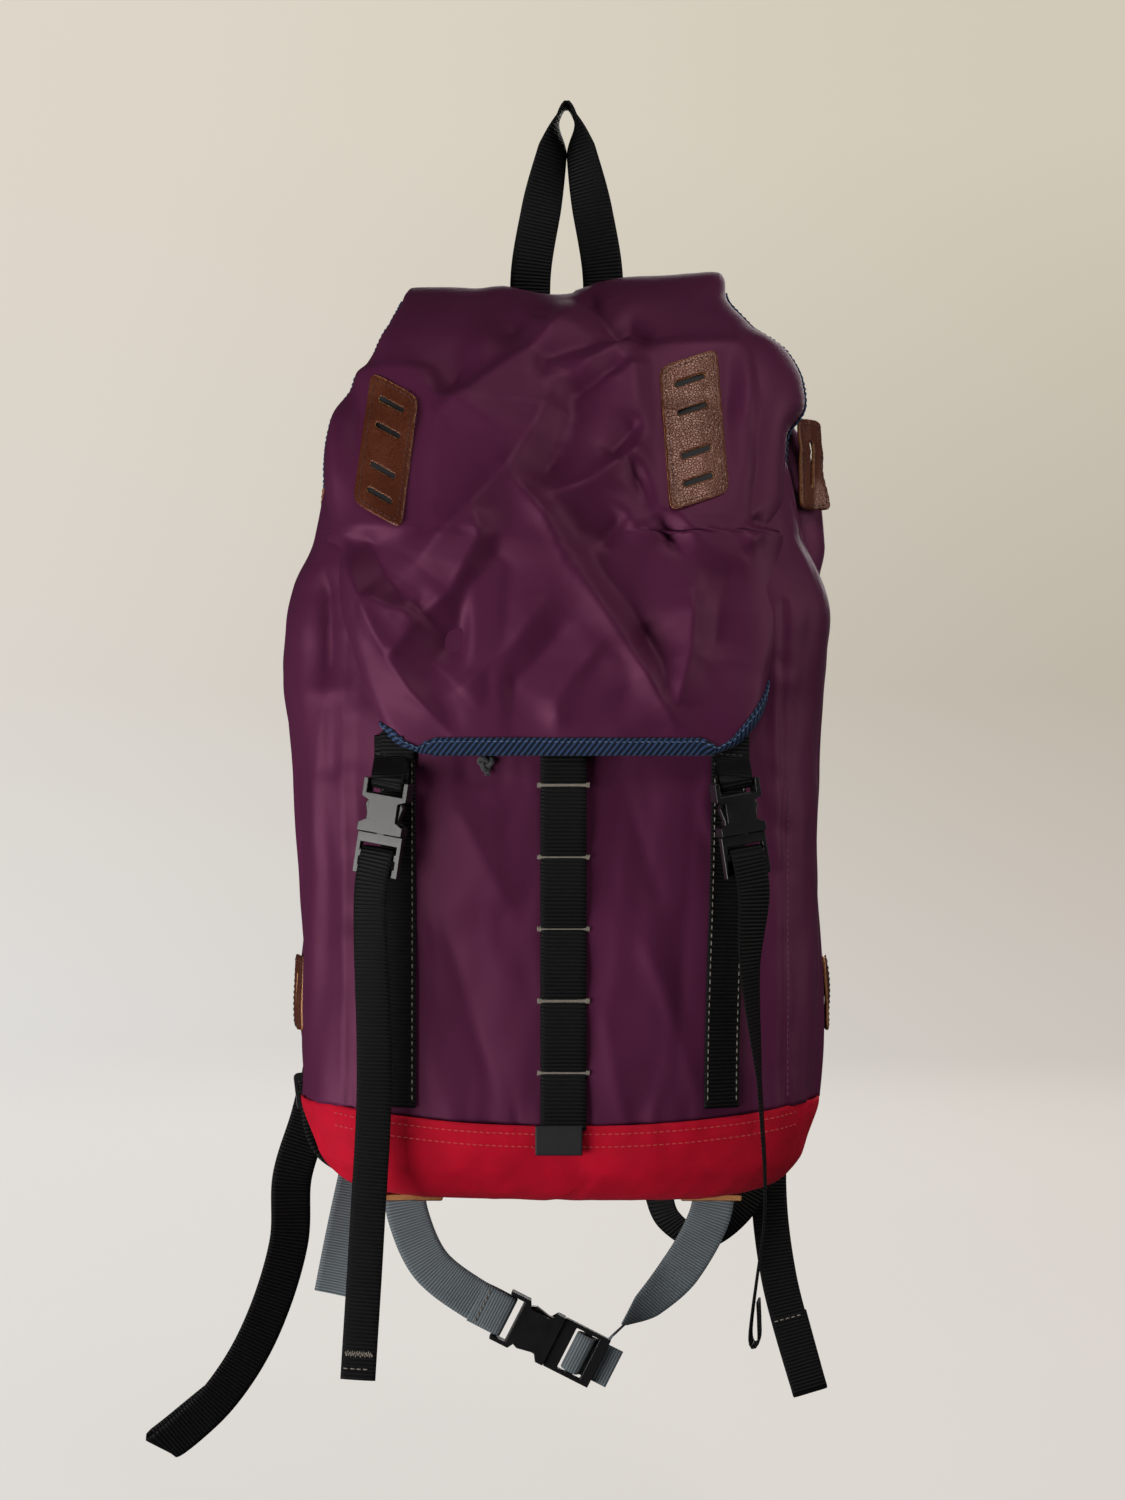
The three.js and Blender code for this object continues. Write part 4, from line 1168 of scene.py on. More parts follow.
def edge_tape(name, tree, edge):
    """Binding folded over an edge: flat on the outer face, round the edge and a little way up the inner one.
    Returns the tape and the line for its stitches."""
    wide, thick = 0.0088, 0.0011
    profile = [(wide, 0.2), (wide * 0.97, 1.0), (wide * 0.75, 1.15), (wide * 0.5, 1.1), (wide * 0.25, 1.15),
               (0.0004, 1.05), (-0.0009, 0.5), (-0.0012, -0.4), (-0.0009, -1.4), (0.0006, -1.9),
               (wide * 0.5, -2.0), (wide * 0.95, -2.0)]
    verts, uvs, front = [], [], []
    travelled = 0.0
    count = len(edge)
    for k, p in enumerate(edge):
        ahead, behind = edge[min(k + 3, count - 1)], edge[max(k - 3, 0)]
        along = (ahead - behind).normalized()
        travelled += (p - edge[k - 1]).length if k else 0
        _, n, _, _ = tree.find_nearest(p)
        n = outward(p, n)
        inward = n.cross(along).normalized()
        probe = tree.find_nearest(p + inward * 0.004)[0]
        if (probe - (p + inward * 0.004)).length > 0.0025:
            inward = -inward
        pucker = 0.00025 * math.sin(travelled * 2 * math.pi / 0.0036)
        for u, v in profile:
            q = p + inward * u
            if u > 0.0003:
                q, m, _, _ = tree.find_nearest(q)
                m = outward(q, m)
            else:
                m = n
            verts.append(q + m * (v * thick + (pucker if v > 0.5 and u > 0 else 0)))
            uvs.append((travelled, u))
        front.append(verts[-len(profile) + 2])
    rows = len(profile)
    faces = []
    for k in range(count - 1):
        for r in range(rows - 1):
            faces.append((k * rows + r, k * rows + r + 1, (k + 1) * rows + r + 1, (k + 1) * rows + r))
    tape = mesh_object(name, verts, faces, "navy_tape", uvs)
    thicken(tape, 0.0003)
    return tape, front


def make_lid():
    lid, left_side, flap, right_side = lid_mesh()
    push(lid, lid_relief)
    bare = BVHTree.FromObject(lid, bpy.context.evaluated_depsgraph_get())
    at = [v.co.copy() for v in lid.data.vertices]
    step = 0.0015
    hidden = 14                       # the left binding's last points lie behind the dart
    left_side = [n for n in left_side[:-hidden] if at[n].y < HINGE_CLEAR]
    right_side = [n for n in right_side if at[n].y < HINGE_CLEAR]
    for name, numbers in (("left", left_side), ("flap", flap[hidden:]), ("right", right_side)):
        edge = even_path([at[n] for n in numbers], step)
        tape, front = edge_tape(f"lid_tape_{name}", bare, edge)
        wear(tape, "lid", ("lid_binding",) if name == "flap" else ())
        tree = surface_of(tape)
        stitches(f"tape_stitch_{name}", front, lambda p: outward(p, tree.find_nearest(p)[1]), "lid",
                 "blue_thread", length=0.0022, gap=0.0012, thick=0.0003)
    thicken(lid)
    apply_modifiers(lid)
    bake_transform(lid)
    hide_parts("lid_panel")
    return bare


# ------------------------------------------------------------------ leather

STITCH_INSET = 0.0029     # from a patch's edge to its row of stitches


def leather_piece(node, body, voxel=0.0008, shift=None, flat=(0, -1, 0)):
    """The CAD plate as a soft-edged piece of hide; shift(point) moves it onto the cloth as it really lies."""
    item = cad_copy(node, "_hide", "brown_leather", "tan_edge")
    voxel *= 1
    modifier(item, "REMESH", mode="VOXEL", voxel_size=voxel, use_smooth_shade=True)
    modifier(item, "SMOOTH", factor=0.5, iterations=4)
    apply_modifiers(item)
    mesh = item.data
    face = Vector(flat)
    for polygon in mesh.polygons:
        polygon.use_smooth = True
        cut_edge = abs(polygon.normal.dot(main_normal(polygon.center, face))) < 0.52
        polygon.material_index = 1 if cut_edge else 0
    for v in mesh.vertices:
        v.co += face * (0.00035 * noise.noise(v.co * 90) + 0.0007 * noise.noise(v.co * 28))
        if shift:
            v.co += shift(v.co)
    mesh.update()
    wear(item, body, (node,))
    return item


def leather_stitches(name, path, normal, body="pack"):
    stitches(name, path, normal, body, "brown_thread", length=0.0020, gap=0.0013, thick=0.00036)


def main_normal(point, face):
    """The direction in which a plate on the pack faces at a point."""
    if abs(face.z) > 0.5:
        return face
    half, front, back = 0.145, -0.157, 0.0
    middle, depth = (front + back) / 2, (back - front) / 2
    u = (abs(point.x) / half) ** (SQUARENESS - 1) / half
    v = (abs(point.y - middle) / depth) ** (SQUARENESS - 1) / depth
    return Vector((math.copysign(u, point.x), math.copysign(v, point.y - middle), 0)).normalized()


def make_lid_patches(lid_tree):
    rows = [("left", 0.028, 0.080, 0.10, -0.5), ("right", 0.033, 0.085, -0.055, 0.3)]
    for (name, width, height, lean, skew), (x, z, _, _) in zip(rows, PATCH_AREAS):
        def shift(p):
            want = on_front(lid_tree, p.x, p.z).y
            return Vector((0, want - front_y(LID, p.x, p.z) + 0.0007, 0))

        def world(u, v):
            """A point well in front of the patch, given across and up its own outline."""
            px = u * math.cos(lean) + v * math.sin(lean)
            pz = -u * math.sin(lean) + v * math.cos(lean)
            return (x + px, -0.5, z + pz + skew * px)

        def shade_sheet_point(j, i):
            u, v = (width - 0.006) * (i / 8 - 0.5), (height - 0.006) * (j / 23 - 0.5)
            return on_surface(lid_tree, world(u, v), (0, 1, 0), 0.0005)

        tree = surface_of(leather_piece(f"lid_patch_{name}", "lid", 0.0007, shift))
        # painted shade: a black sheet just under the patch, over the nylon, stands in for the shade inside
        # its slots
        wear(grid(f"patch_shade_sheet_{name}", 24, 9, shade_sheet_point, "black_cloth"), "lid")
        outline = rounded_outline(width - 2 * STITCH_INSET, height - 2 * STITCH_INSET, 0.0035)
        path = [on_surface(tree, world(p.x, p.y), (0, 1, 0)) for p in outline]
        leather_stitches(f"patch_stitch_{name}", path, lambda p: outward(p, tree.find_nearest(p)[1]), "lid")


def section_x(y, z):
    """Half the width of the sack's section at a depth and height."""
    half, front, back = hermite(SACK, z)
    share = min(abs(y - (front + back) / 2) / ((back - front) / 2), 0.98)
    return half * (1 - share ** SQUARENESS) ** (1 / SQUARENESS)


UPPER_PATCH = (-0.058, -0.218, 0.026, 0.052)                # middle y and z, width and height
LOWER_PATCH = (-0.072, LOWER_PATCH_Z, 0.030, 0.042)


def make_side_patches(sack_tree):
    for name, sign, (y, z, wide, high) in (("upper_left", -1, UPPER_PATCH), ("lower_left", -1, LOWER_PATCH),
                                           ("lower_right", 1, LOWER_PATCH)):
        def shift(p):
            want = on_surface(sack_tree, (sign * 0.4, p.y, p.z), (-sign, 0, 0)).x
            return Vector((want - sign * section_x(p.y, p.z) + sign * 0.0006, 0, 0))

        tree = surface_of(leather_piece(f"side_patch_{name}", "pack", 0.0008, shift, (sign, 0, 0)))
        outline = rounded_outline(wide - 2 * STITCH_INSET, high - 2 * STITCH_INSET, 0.003)
        path = [on_surface(tree, (sign * 0.4, y + p.x, z + p.y), (-sign, 0, 0)) for p in outline]
        leather_stitches(f"side_stitch_{name}", path, lambda p: (sign, 0, 0))
    make_upper_right_patch(sack_tree)


def make_upper_right_patch(sack_tree):
    """It lies on the swollen corner behind the lid, turned half forward; its lower corner stands away."""
    y, z, wide, high = UPPER_PATCH
    middle, along, out = Vector((0.1385, -0.0600, 0)), Vector((0.56, 0.83, 0)), Vector((0.83, -0.56, 0))

    def plate(u, height):
        """A point of the plate, lifted where the sack bulges through it."""
        flat = middle + along * u + Vector((0, 0, height))
        hit = sack_tree.ray_cast(flat + out * 0.06, -out)[0]
        lift = max((hit - flat).dot(out), 0) if hit else 0
        flare = 0.005 * smooth(0.0, wide / 2, u) * smooth(z, z - high / 2, height)
        return flat + out * (min(lift, 0.012) + 0.0010 + flare)

    def shift(p):
        return plate(p.y - y, p.z) + out * (p.x - section_x(p.y, p.z)) - p

    tree = surface_of(leather_piece("side_patch_upper_right", "pack", 0.0008, shift, (1, 0, 0)))
    outline = rounded_outline(wide - 2 * STITCH_INSET, high - 2 * STITCH_INSET, 0.003)
    path = [on_surface(tree, plate(p.x, z + p.y) + out * 0.05, -out) for p in outline]
    leather_stitches("side_stitch_upper_right", path, lambda p: out)


def make_base_pads():
    for name, x in (("left", -0.086), ("right", 0.080)):
        leather_piece(f"base_pad_{name}", "pack", 0.0006, None, (0, 0, -1))
        path = [Vector((x + p.x, -0.095 + p.y, -0.6320)) for p in rounded_outline(0.029, 0.045, 0.003)]
        leather_stitches(f"base_pad_stitch_{name}", path, lambda p: (0, 0, -1))


# ------------------------------------------------------------------ webbing on the front

TACKS = (-0.401, -0.440, -0.479, -0.518, -0.557)


def make_daisy_chain(sack_tree):
    x, low, high = -0.002, -0.588, -0.374
    marks = [high, *TACKS, -0.586]
    route = []
    for z in steps(high, low, 120):
        above = min((m for m in marks if m >= z), default=high)
        below = max((m for m in marks if m <= z), default=low)
        share = (above - z) / max(above - below, 1e-6) if above > below else 0
        loop = math.sin(math.pi * share) if z > -0.586 else 0
        y = on_front(sack_tree, x, z).y
        route.append((x, y - 0.0022 - 0.0021 * abs(loop) ** 0.8, z))
    strap("daisy_chain_web", route, [(1, 0, 0)] * 2, 0.025, "pack", ("daisy_chain",), step=0.0013)
    for n, z in enumerate(TACKS):
        y = on_front(sack_tree, x, z).y - 0.0031
        bar_tack(f"tack_{n + 1}", x - 0.0142, x + 0.0142, y, z, f"bar_tack_{n + 1}")
    make_label(on_front(sack_tree, -0.0045, low).y)


def bar_tack(name, x0, x1, y, z, node):
    """A dense satin bar: short threads side by side."""
    verts, faces = [], []
    count = int((x1 - x0) / 0.00052)
    sides, rings = 5, (-1, -0.7, 0, 0.7, 1)
    rng = random.Random(int(-z * 10000))
    for n in range(count):
        x = x0 + (n + 0.5) * (x1 - x0) / count
        high = 0.00125 + 0.0003 * rng.random()
        skew = 0.0005 * (rng.random() - 0.5)
        first = len(verts)
        for t in rings:
            r = 0.00036 * (0.35 if abs(t) == 1 else 1)
            back = 0.0007 * t * t
            for s in range(sides):
                a = 2 * math.pi * s / sides
                verts.append((x + skew * t + r * math.cos(a), y + back + r * math.sin(a), z + t * high))
        faces += rounds(len(rings), sides, first, caps=True)
    wear(mesh_object(name, verts, faces, "grey_thread"), "pack", (node,))


def make_label(y):
    """A small blank woven tab under the chain's end, folded at its foot."""
    low, high, x0, x1 = -0.6005, -0.5855, -0.0172, 0.0082
    rows = []
    for z in steps(high, low, 16):
        rows.append((z, y - 0.0032 - 0.0005 * math.sin(math.pi * (z - low) / (high - low))))
    rows += [(low - 0.0006, y - 0.0029), (low - 0.0007, y - 0.0022), (low, y - 0.0018)]
    xs = steps(x0, x1, 26)
    tab = grid("label_blank", len(rows), len(xs), lambda j, i: (xs[i], rows[j][1], rows[j][0]), "black_cloth")
    thicken(tab, 0.0005)
    wear(tab, "pack", ("label_tab",))
    for n, x in enumerate((x0 + 0.0015, x1 - 0.0015)):
        path = [Vector((x, y - 0.0036, z)) for z in steps(high - 0.001, low + 0.001, 14)]
        stitches(f"label_stitch_{n}", path, lambda p: (0, -1, 0), "pack", "black_thread", thick=0.0003)


def make_front_strips(sack_tree):
    for name, x, tilt in (("left", -0.092, 0.0), ("right", 0.088, -0.004)):
        route = []
        for z in steps(-0.372, -0.5765, 60):
            px = x + tilt * smooth(-0.40, -0.57, z)
            route.append((px, on_front(sack_tree, px, z).y - 0.0013, z))
        px = route[30][0]
        left, right = on_front(sack_tree, px - 0.008, -0.48), on_front(sack_tree, px + 0.008, -0.48)
        across = (right - left).normalized()
        node = f"front_strip_{name}"
        frames = strap(f"front_strip_web_{name}", route, [across] * 2, 0.020, "pack", (node,))
        for offset in (-0.0082, 0.0082):
            edge = "in" if offset * x < 0 else "out"
            stitch_along(f"strip_stitch_{name}_{edge}", frames[8:], offset, "pack", facing(frames[10]))


# ------------------------------------------------------------------ straps and buckles

class Frame:
    """A buckle's own axes: the mouth, across, into the pack, and up towards the socket's bar."""

    def __init__(self, mouth, across, into, up):
        self.mouth, self.across = Vector(mouth), Vector(across)
        self.into, self.up = Vector(into), Vector(up)

    def at(self, y, z, x=0.0):
        """A point given in millimetres from the mouth."""
        return self.mouth + (self.across * x + self.into * y + self.up * z) * 0.001


BUCKLES = {
    "left": Frame((-0.0995, -0.1665, -0.424), (0.92737, -0.33852, -0.15932), (0.3429, 0.93937, 0),
                  (0.14966, -0.05463, 0.98723)),
    "right": Frame((0.0935, -0.1695, -0.424), (0.92737, 0.33852, 0.15932), (-0.3429, 0.93937, 0),
                   (-0.14966, -0.05463, 0.98723)),
    "belt": Frame((-0.010, -0.026, -0.727), (0.4536, 0, 0.89121), (0, 1, 0), (-0.89121, 0, 0.4536)),
}
BAR = 24.4                # from a socket's mouth to its bar, in millimetres


def with_hem(route, across, length, gap, side=1):
    """The route with its end folded back on itself."""
    end = Vector(route[-1])
    along = (end - Vector(route[-2])).normalized()
    out = along.cross(Vector(across[-1]).normalized()) * side
    back = [end + along * gap * 0.6 + out * gap * 0.5, end + out * gap,
            end - along * length * 0.5 + out * (gap * 0.55 + 0.0012), end - along * length + out * 0.0018]
    return [*route, *back], [*across, *[across[-1]] * 4]


def make_lid_straps():
    for side, x, sign in (("left", -0.096, -1), ("right", 0.090, 1)):
        frame = BUCKLES[side]
        slope = (front_y(SACK, x + 0.008, HEM_Z) - front_y(SACK, x - 0.008, HEM_Z)) / 0.016
        level = (1, slope, 0)
        top = HEM_Z + 0.010
        middle = (front_y(SACK, x, top) + front_y(LID, x, top) + 0.0025) / 2
        turn = frame.across
        loop = [(x, middle + 0.00095, top), (x, middle + 0.00095, HEM_Z - 0.001), frame.at(3, BAR + 3),
                frame.at(2.2, BAR - 2.2), frame.at(0, BAR - 3.1), frame.at(-2.2, BAR - 2.2),
                frame.at(-3, BAR + 3), (x, middle - 0.00095, HEM_Z - 0.001), (x, middle - 0.00095, top)]
        across = [level, level, turn, turn, turn, turn, turn, level, level]
        frames = strap(f"lid_stub_{side}", loop, across, 0.0185, "lid", (f"lid_strap_{side}",),
                       thick=STRAP_WEB, step=0.001, ripple=0)
        out = facing(frames[int(len(frames) * 0.83)])
        stitch_across(f"stub_stitch_{side}", frames, int(len(frames) * 0.86), 0.0165, "lid", out,
                      "black_thread", STRAP_WEB)
        make_tail(side, frame, sign)
        buckle(side, f"{side}_socket", f"{side}_plug", f"{side}_prong")


def make_tail(side, frame, sign):
    """The long free end of a lid strap, from round the plug's ladder down past the base."""
    y = frame.mouth.y
    start = [frame.at(4.2, -17), frame.at(3, -12.2), frame.at(0, -10.8), frame.at(-3, -12.2),
             frame.at(-4.2, -17), frame.at(-4.8, -34)]
    turns = [frame.across] * 6
    if side == "left":
        ends = [(-0.104, y, -0.560), (-0.108, y + 0.001, -0.640), (-0.113, y + 0.001, -0.722)]
        frames = strap("tail_web_left", start + ends, turns + [(1, 0, 0)] * 3, 0.019, "left_tail",
                       ("strap_tail_left",), thick=STRAP_WEB, cup=-0.0006)
        out = facing(frames[-5])
        stitch_across("tail_end_stitch_left", frames, -4, 0.017, "left_tail", out, thick=STRAP_WEB)
        zigzag("tail_tack_left", frames, -8, 0.015, "left_tail", out)
    else:
        ends = [(0.0985, y, -0.500), (0.1035, y, -0.560), (0.1065, y + 0.001, -0.630),
                (0.099, y + 0.001, -0.700)]
        edge_on = [(0.60, 0.80, 0), (0.16, 1, 0), (0.10, 1, 0), (0.14, 1, 0)]
        route, across = with_hem(start + ends, turns + edge_on, 0.022, 0.0042, side=1)
        strap("tail_web_right", route, across, 0.019, "right_tail", ("strap_tail_right",), thick=STRAP_WEB)


def zigzag(name, frames, index, width, body, out):
    """A zigzag tack across a strap's end."""
    at, wide, up = frames[index]
    along = wide.cross(up)
    lift = up * (out * 0.0008)
    path = []
    for k in range(25):
        path.append(at + lift + wide * (width * (k / 24 - 0.5)) + along * (0.0011 * (1 if k % 2 else -1)))
    stitches(name, path, lambda p: up * out, body, "grey_thread", length=0.0016, gap=0.0002, thick=0.00034)


# The haul loop, from one foot over the top to the other.
HAUL = [(-0.022, 0, -0.122), (-0.021, 0, -0.095), (-0.015, 0, -0.060), (-0.008, 0, -0.025),
        (-0.005, 0, -0.007), (0, 0, 0.0012), (0.005, 0, -0.007), (0.008, 0, -0.025),
        (0.015, 0, -0.060), (0.021, 0, -0.095), (0.022, 0, -0.122)]


def make_haul_loop():
    deep = (0, 1, 0)
    across = [(1, 0, 0), (1, 0.06, 0.05), (1, 0.2, 0.1), (0.7, 0.7, 0), deep, deep, deep, (-0.7, 0.7, 0),
              (-1, 0.2, 0.1), (-1, 0.05, 0.05), (-1, 0, 0)]
    strap("haul_loop_web", HAUL, across, 0.024, "pack", ("haul_loop",), ripple=0.0004, cup=0.0005)


def make_shoulder_tails():
    wide = (1, 0, 0)
    left = [(-0.147, 0.0164, -0.583), (-0.147, 0.015, -0.602), (-0.140, 0.008, -0.618), (-0.122, 0, -0.629)]
    strap("anchor_web_left", left, [wide, wide, (0.9, 0.3, 0.3), (0.9, 0.3, 0.3)], 0.024, "pack",
          ("shoulder_anchor_left",))
    right = [(0.127, 0.0164, -0.583), (0.122, 0.0105, -0.610), (0.104, 0.002, -0.655),
             (0.080, -0.001, -0.672), (0.060, -0.003, -0.660), (0.052, -0.004, -0.632)]
    turns = [wide, wide, (0.7, 0.5, -0.5), (0.1, 0.6, -0.8), (-0.5, 0.6, -0.6), (-0.9, 0.4, -0.1)]
    strap("anchor_web_right", right, turns, 0.020, "pack", ("shoulder_anchor_right",))
    tail = [(-0.149, 0.029, -0.580), (-0.155, 0.030, -0.604), (-0.166, 0.030, -0.640),
            (-0.168, 0.028, -0.680), (-0.186, 0.022, -0.735), (-0.210, 0.016, -0.772),
            (-0.240, 0.010, -0.798)]
    across = [wide, (1, 0.1, 0), (1, 0.2, -0.1), (1, 0.3, -0.1), (0.9, 0.3, -0.3), (0.8, 0.35, -0.5),
              (0.75, 0.4, -0.5)]
    route, turns = with_hem(tail, across, 0.040, 0.0048, side=-1)
    frames = strap("shoulder_tail_web_left", route, turns, 0.024, "ladder_left", ("shoulder_tail_left",))
    fold = int(len(frames) * 0.80)
    stitch_across("shoulder_tail_stitch_left", frames, fold, 0.022, "ladder_left", facing(frames[-12]))
    tail = [(0.128, 0.029, -0.580), (0.122, 0.028, -0.640), (0.128, 0.024, -0.700), (0.146, 0.018, -0.766)]
    route, turns = with_hem(tail, [wide, (1, 0, 0.1), (1, 0, 0.25), (1, 0, 0.3)], 0.046, 0.0030, side=-1)
    frames = strap("shoulder_tail_web_right", route, turns, 0.0215, "ladder_right", ("shoulder_tail_right",))
    fold = int(len(frames) * 0.60)
    stitch_across("shoulder_tail_stitch_right", frames, fold, 0.019, "ladder_right", facing(frames[fold]))
    for side in ("left", "right"):
        polished(f"ladder_lock_{side}", f"ladder_{side}")


def make_belt():
    frame = BUCKLES["belt"]
    size = 1.25                       # the belt's buckle beside a lid strap's
    bar = BAR * size
    wide, turn = (1, 0, 0), frame.across

    def band(name, route, across, body, node, width=0.0245, **settings):
        return strap(name, route, across, width, body, (node,), "slate_webbing", thick=STRAP_WEB, **settings)

    left = [(-0.096, -0.026, -0.633), (-0.093, -0.026, -0.655), (-0.080, -0.025, -0.684),
            frame.at(3.4, bar + 20), frame.at(3.4, bar + 10)]
    for into, above in ((2.9, 3), (2.1, -2.1), (0, -3), (-2.1, -2.1), (-2.9, 3), (-2.6, 18)):
        left.append(frame.at(into, bar + above))      # round the socket's bar
    turns = [wide, (1, 0, 0.1), (1, 0, 0.6), *[turn] * 8]
    frames = band("belt_web_left", left, turns, "belt_left", "belt_band_left", step=0.0015)
    stitch_across("belt_stitch_left", frames, -4, 0.022, "belt_left", facing(frames[-6]), thick=STRAP_WEB)
    right = [(0.087, -0.024, -0.633), (0.084, -0.024, -0.655), (0.066, -0.0235, -0.688),
             (0.047, -0.0228, -0.7085), (0.034, -0.0226, -0.7195)]
    turns = [wide, (1, 0, -0.1), (0.8, 0.1, -0.6), (0.5, 0.6, -0.6), (0.15, 1, -0.2)]
    band("belt_web_right", right, turns, "belt_right", "belt_band_right", step=0.0015)
    loop = [(0.033, -0.0222, -0.7205), (0.0255, -0.0140, -0.7290)]
    for into, below in ((12, 22), (6, 20.5), (0, 19), (-3.0, 17.8), (-3.5, 15), (-3.0, 12.4), (0, 10.8),
                        (2.8, 12), (4.4, 20), (5.0, 34)):
        loop.append(frame.at(into, -below * size))    # through the plug's ladder frame
    turns = [(0.1, 1, -0.1), (-0.1, 1, -0.3), (-0.4, 0.5, -0.8), *[-turn] * 9]
    band("belt_ladder_web", loop, turns, "belt_plug", "belt_tail_right", 0.0235, step=0.001, ripple=0)
    loose = [(-0.122, -0.016, -0.633), (-0.128, -0.016, -0.662), (-0.136, -0.016, -0.703)]
    turns = [(1, 0.2, 0), (1, 0.1, -0.1), (1, -0.1, -0.15)]
    band("belt_web_loose", loose, turns, "belt_loose", "belt_tail_left", 0.026, cup=0.0012)
    buckle("belt", "belt_left", "belt_plug", "belt_prong")


# ------------------------------------------------------------------ drawcord and collar

def make_drawcord():
    data = bpy.data.curves.new("drawcord_braid", "CURVE")
    data.dimensions = "3D"
    data.bevel_depth = 0.0015
    data.bevel_resolution = 5
    data.resolution_u = 8
    line = data.splines.new("BEZIER")
    line.bezier_points.add(len(CORD_ROUTE) - 1)
    for point, co in zip(line.bezier_points, CORD_ROUTE):
        point.co = co
        point.handle_left_type = point.handle_right_type = "AUTO"
    data.materials.append(MATERIALS["grey_cord"])
    braid = add_object("drawcord_braid", data)
    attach(braid, "pack")
    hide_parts("drawcord")
    knot = make_knot(Vector((-0.044, -0.1602, -0.3892)))
    for node, body in (("cord_lock_barrel", "pack"), ("cord_lock_button", "cord_button")):
        polished(node, body)


def make_knot(centre):
    """An overhand knot with a short frayed end."""
    path = []
    for k in range(73):
        t = 2 * math.pi * k / 72
        path.append(Vector((math.sin(t) + 2 * math.sin(2 * t), -math.sin(3 * t) * 0.8,
                            math.cos(t) - 2 * math.cos(2 * t))) * 0.0013 + centre)
    verts, faces = tube(path, 0.0013, 8)
    end = [centre + Vector((0.0005, 0, -0.003)), centre + Vector((0.001, -0.0004, -0.0065))]
    for fan in (-1, 0, 1):
        tip = [end[0], end[0].lerp(end[1], 0.5) + Vector((fan * 0.0004, 0, 0)),
               end[1] + Vector((fan * 0.0011, fan * 0.0003, 0))]
        more, extra = tube(tip, 0.0006, 6)
        first = len(verts)
        verts += more
        faces += [tuple(first + n for n in f) for f in extra]
    knot = mesh_object("drawcord_knot_braid", verts, faces, "grey_cord")
    wear(knot, "pack", ("drawcord_knot",))
    return knot


def make_collar():
    """The gathered collar: a tunnel for the cord at its top, and pleats that fade towards the sack."""
    columns = 420
    angles = even_angles(columns, 0.082, 0.026)
    stations = [(SACK_TOP, 0.087, -0.061, -0.0025), (-0.139, 0.081, -0.058, -0.0035),
                (-0.132, 0.076, -0.054, -0.005), (-0.1275, 0.076, -0.054, -0.005),
                (-0.1245, 0.075, -0.053, -0.0055), (-0.1238, 0.073, -0.051, -0.0065)]
    heights = steps(SACK_TOP, stations[-1][0], 26)

    def place(j, i):
        half, front, back = hermite(stations, heights[j])
        a = angles[i]
        pleat = math.sin(a * 34 + 2.2 * math.sin(a * 5)) + 0.5 * math.sin(a * 57 + 1)
        depth = 0.0011 * smooth(SACK_TOP, -0.134, heights[j]) * pleat
        tunnel = 0.0010 * math.sin(math.pi * min(max((heights[j] + 0.1335) / 0.0097, 0), 1))
        grow = 1 + (depth + tunnel) / 0.05
        mid = (front + back) / 2
        return (half * bend(math.sin(a)) * (1 + (depth + tunnel) / half),
                mid - (back - front) / 2 * bend(math.cos(a)) * grow, heights[j])

    ring = grid("collar_gathered", len(heights), columns, place, "grey_lining", wrap=True)
    thicken(ring, 0.0008)
    wear(ring, "pack", ("collar",))


# ------------------------------------------------------------------ the back

def make_back():
    """The padded back: two long foam channels each side of a spine, sewn down across, with a bound edge."""
    width, height, radius, middle = 0.228, 0.496, 0.040, -0.372
    seams = (-0.15, -0.05, 0.05, 0.15)
    columns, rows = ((92, 190))

    def place(j, i):
        u, v = width * (0.5 - i / columns), height * (j / rows - 0.5)
        core_u, core_v = width / 2 - radius, height / 2 - radius
        du, dv = abs(u) - core_u, abs(v) - core_v
        if du > 0 and dv > 0 and math.hypot(du, dv) > radius:
            cu, cv = math.copysign(core_u, u), math.copysign(core_v, v)
            pull = radius / math.hypot(u - cu, v - cv)
            u, v = cu + (u - cu) * pull, cv + (v - cv) * pull
        du, dv = abs(u) - core_u, abs(v) - core_v
        inside = max(radius - math.hypot(max(du, 0), max(dv, 0)) - min(max(du, dv), 0), 0)
        rise = 0.0125 * (1 - math.exp(-inside / 0.009))
        spine = math.exp(-(u / 0.007) ** 2)
        cross = sum(math.exp(-((v - c) / 0.004) ** 2) for c in seams)
        groove = max(spine, min(cross, 1) * 0.8) * (1 - math.exp(-inside / 0.010))
        y = 0.0022 + rise - 0.0075 * groove + 0.0010 * crumple(u, v, 0.04, 0.05, 6.6)
        return (u, min(y, 0.0165), middle + v)

    pad = grid("back_padding_mesh", rows + 1, columns + 1, place, "black_cloth")
    thicken(pad, 0.0012)
    wear(pad, "pack", ("back_pad",))
    rim = rounded_outline(width - 0.003, height - 0.003, radius, 0.004)
    piping = tube([Vector((p.x, 0.0034, middle + p.y)) for p in rim], 0.0022, 8)
    wear(mesh_object("back_piping", *piping, "black_cloth"), "pack")
    tree = surface_of(pad)
    for n, c in enumerate(seams):
        row = [on_surface(tree, (x, 0.2, middle + c), (0, -1, 0)) for x in steps(-0.100, 0.100, 60)]
        stitches(f"back_stitch_{n}", row, lambda p: (0, 1, 0), "pack", "black_thread")


def make_yoke():
    """The CAD yoke as a soft, slightly uneven sewn piece, just under the lid's rear edge."""
    item = cad_copy("yoke", "_sewn", "plum_nylon")
    modifier(item, "REMESH", mode="VOXEL", voxel_size=0.0012, use_smooth_shade=True)
    modifier(item, "SMOOTH", factor=0.5, iterations=5)
    apply_modifiers(item)
    push(item, lambda p: 0.0003 * noise.noise(p * 60))
    for v in item.data.vertices:
        v.co.z += hermite(LID_TOP, v.co.x)[0] - 0.007
    wear(item, "pack", ("yoke",))


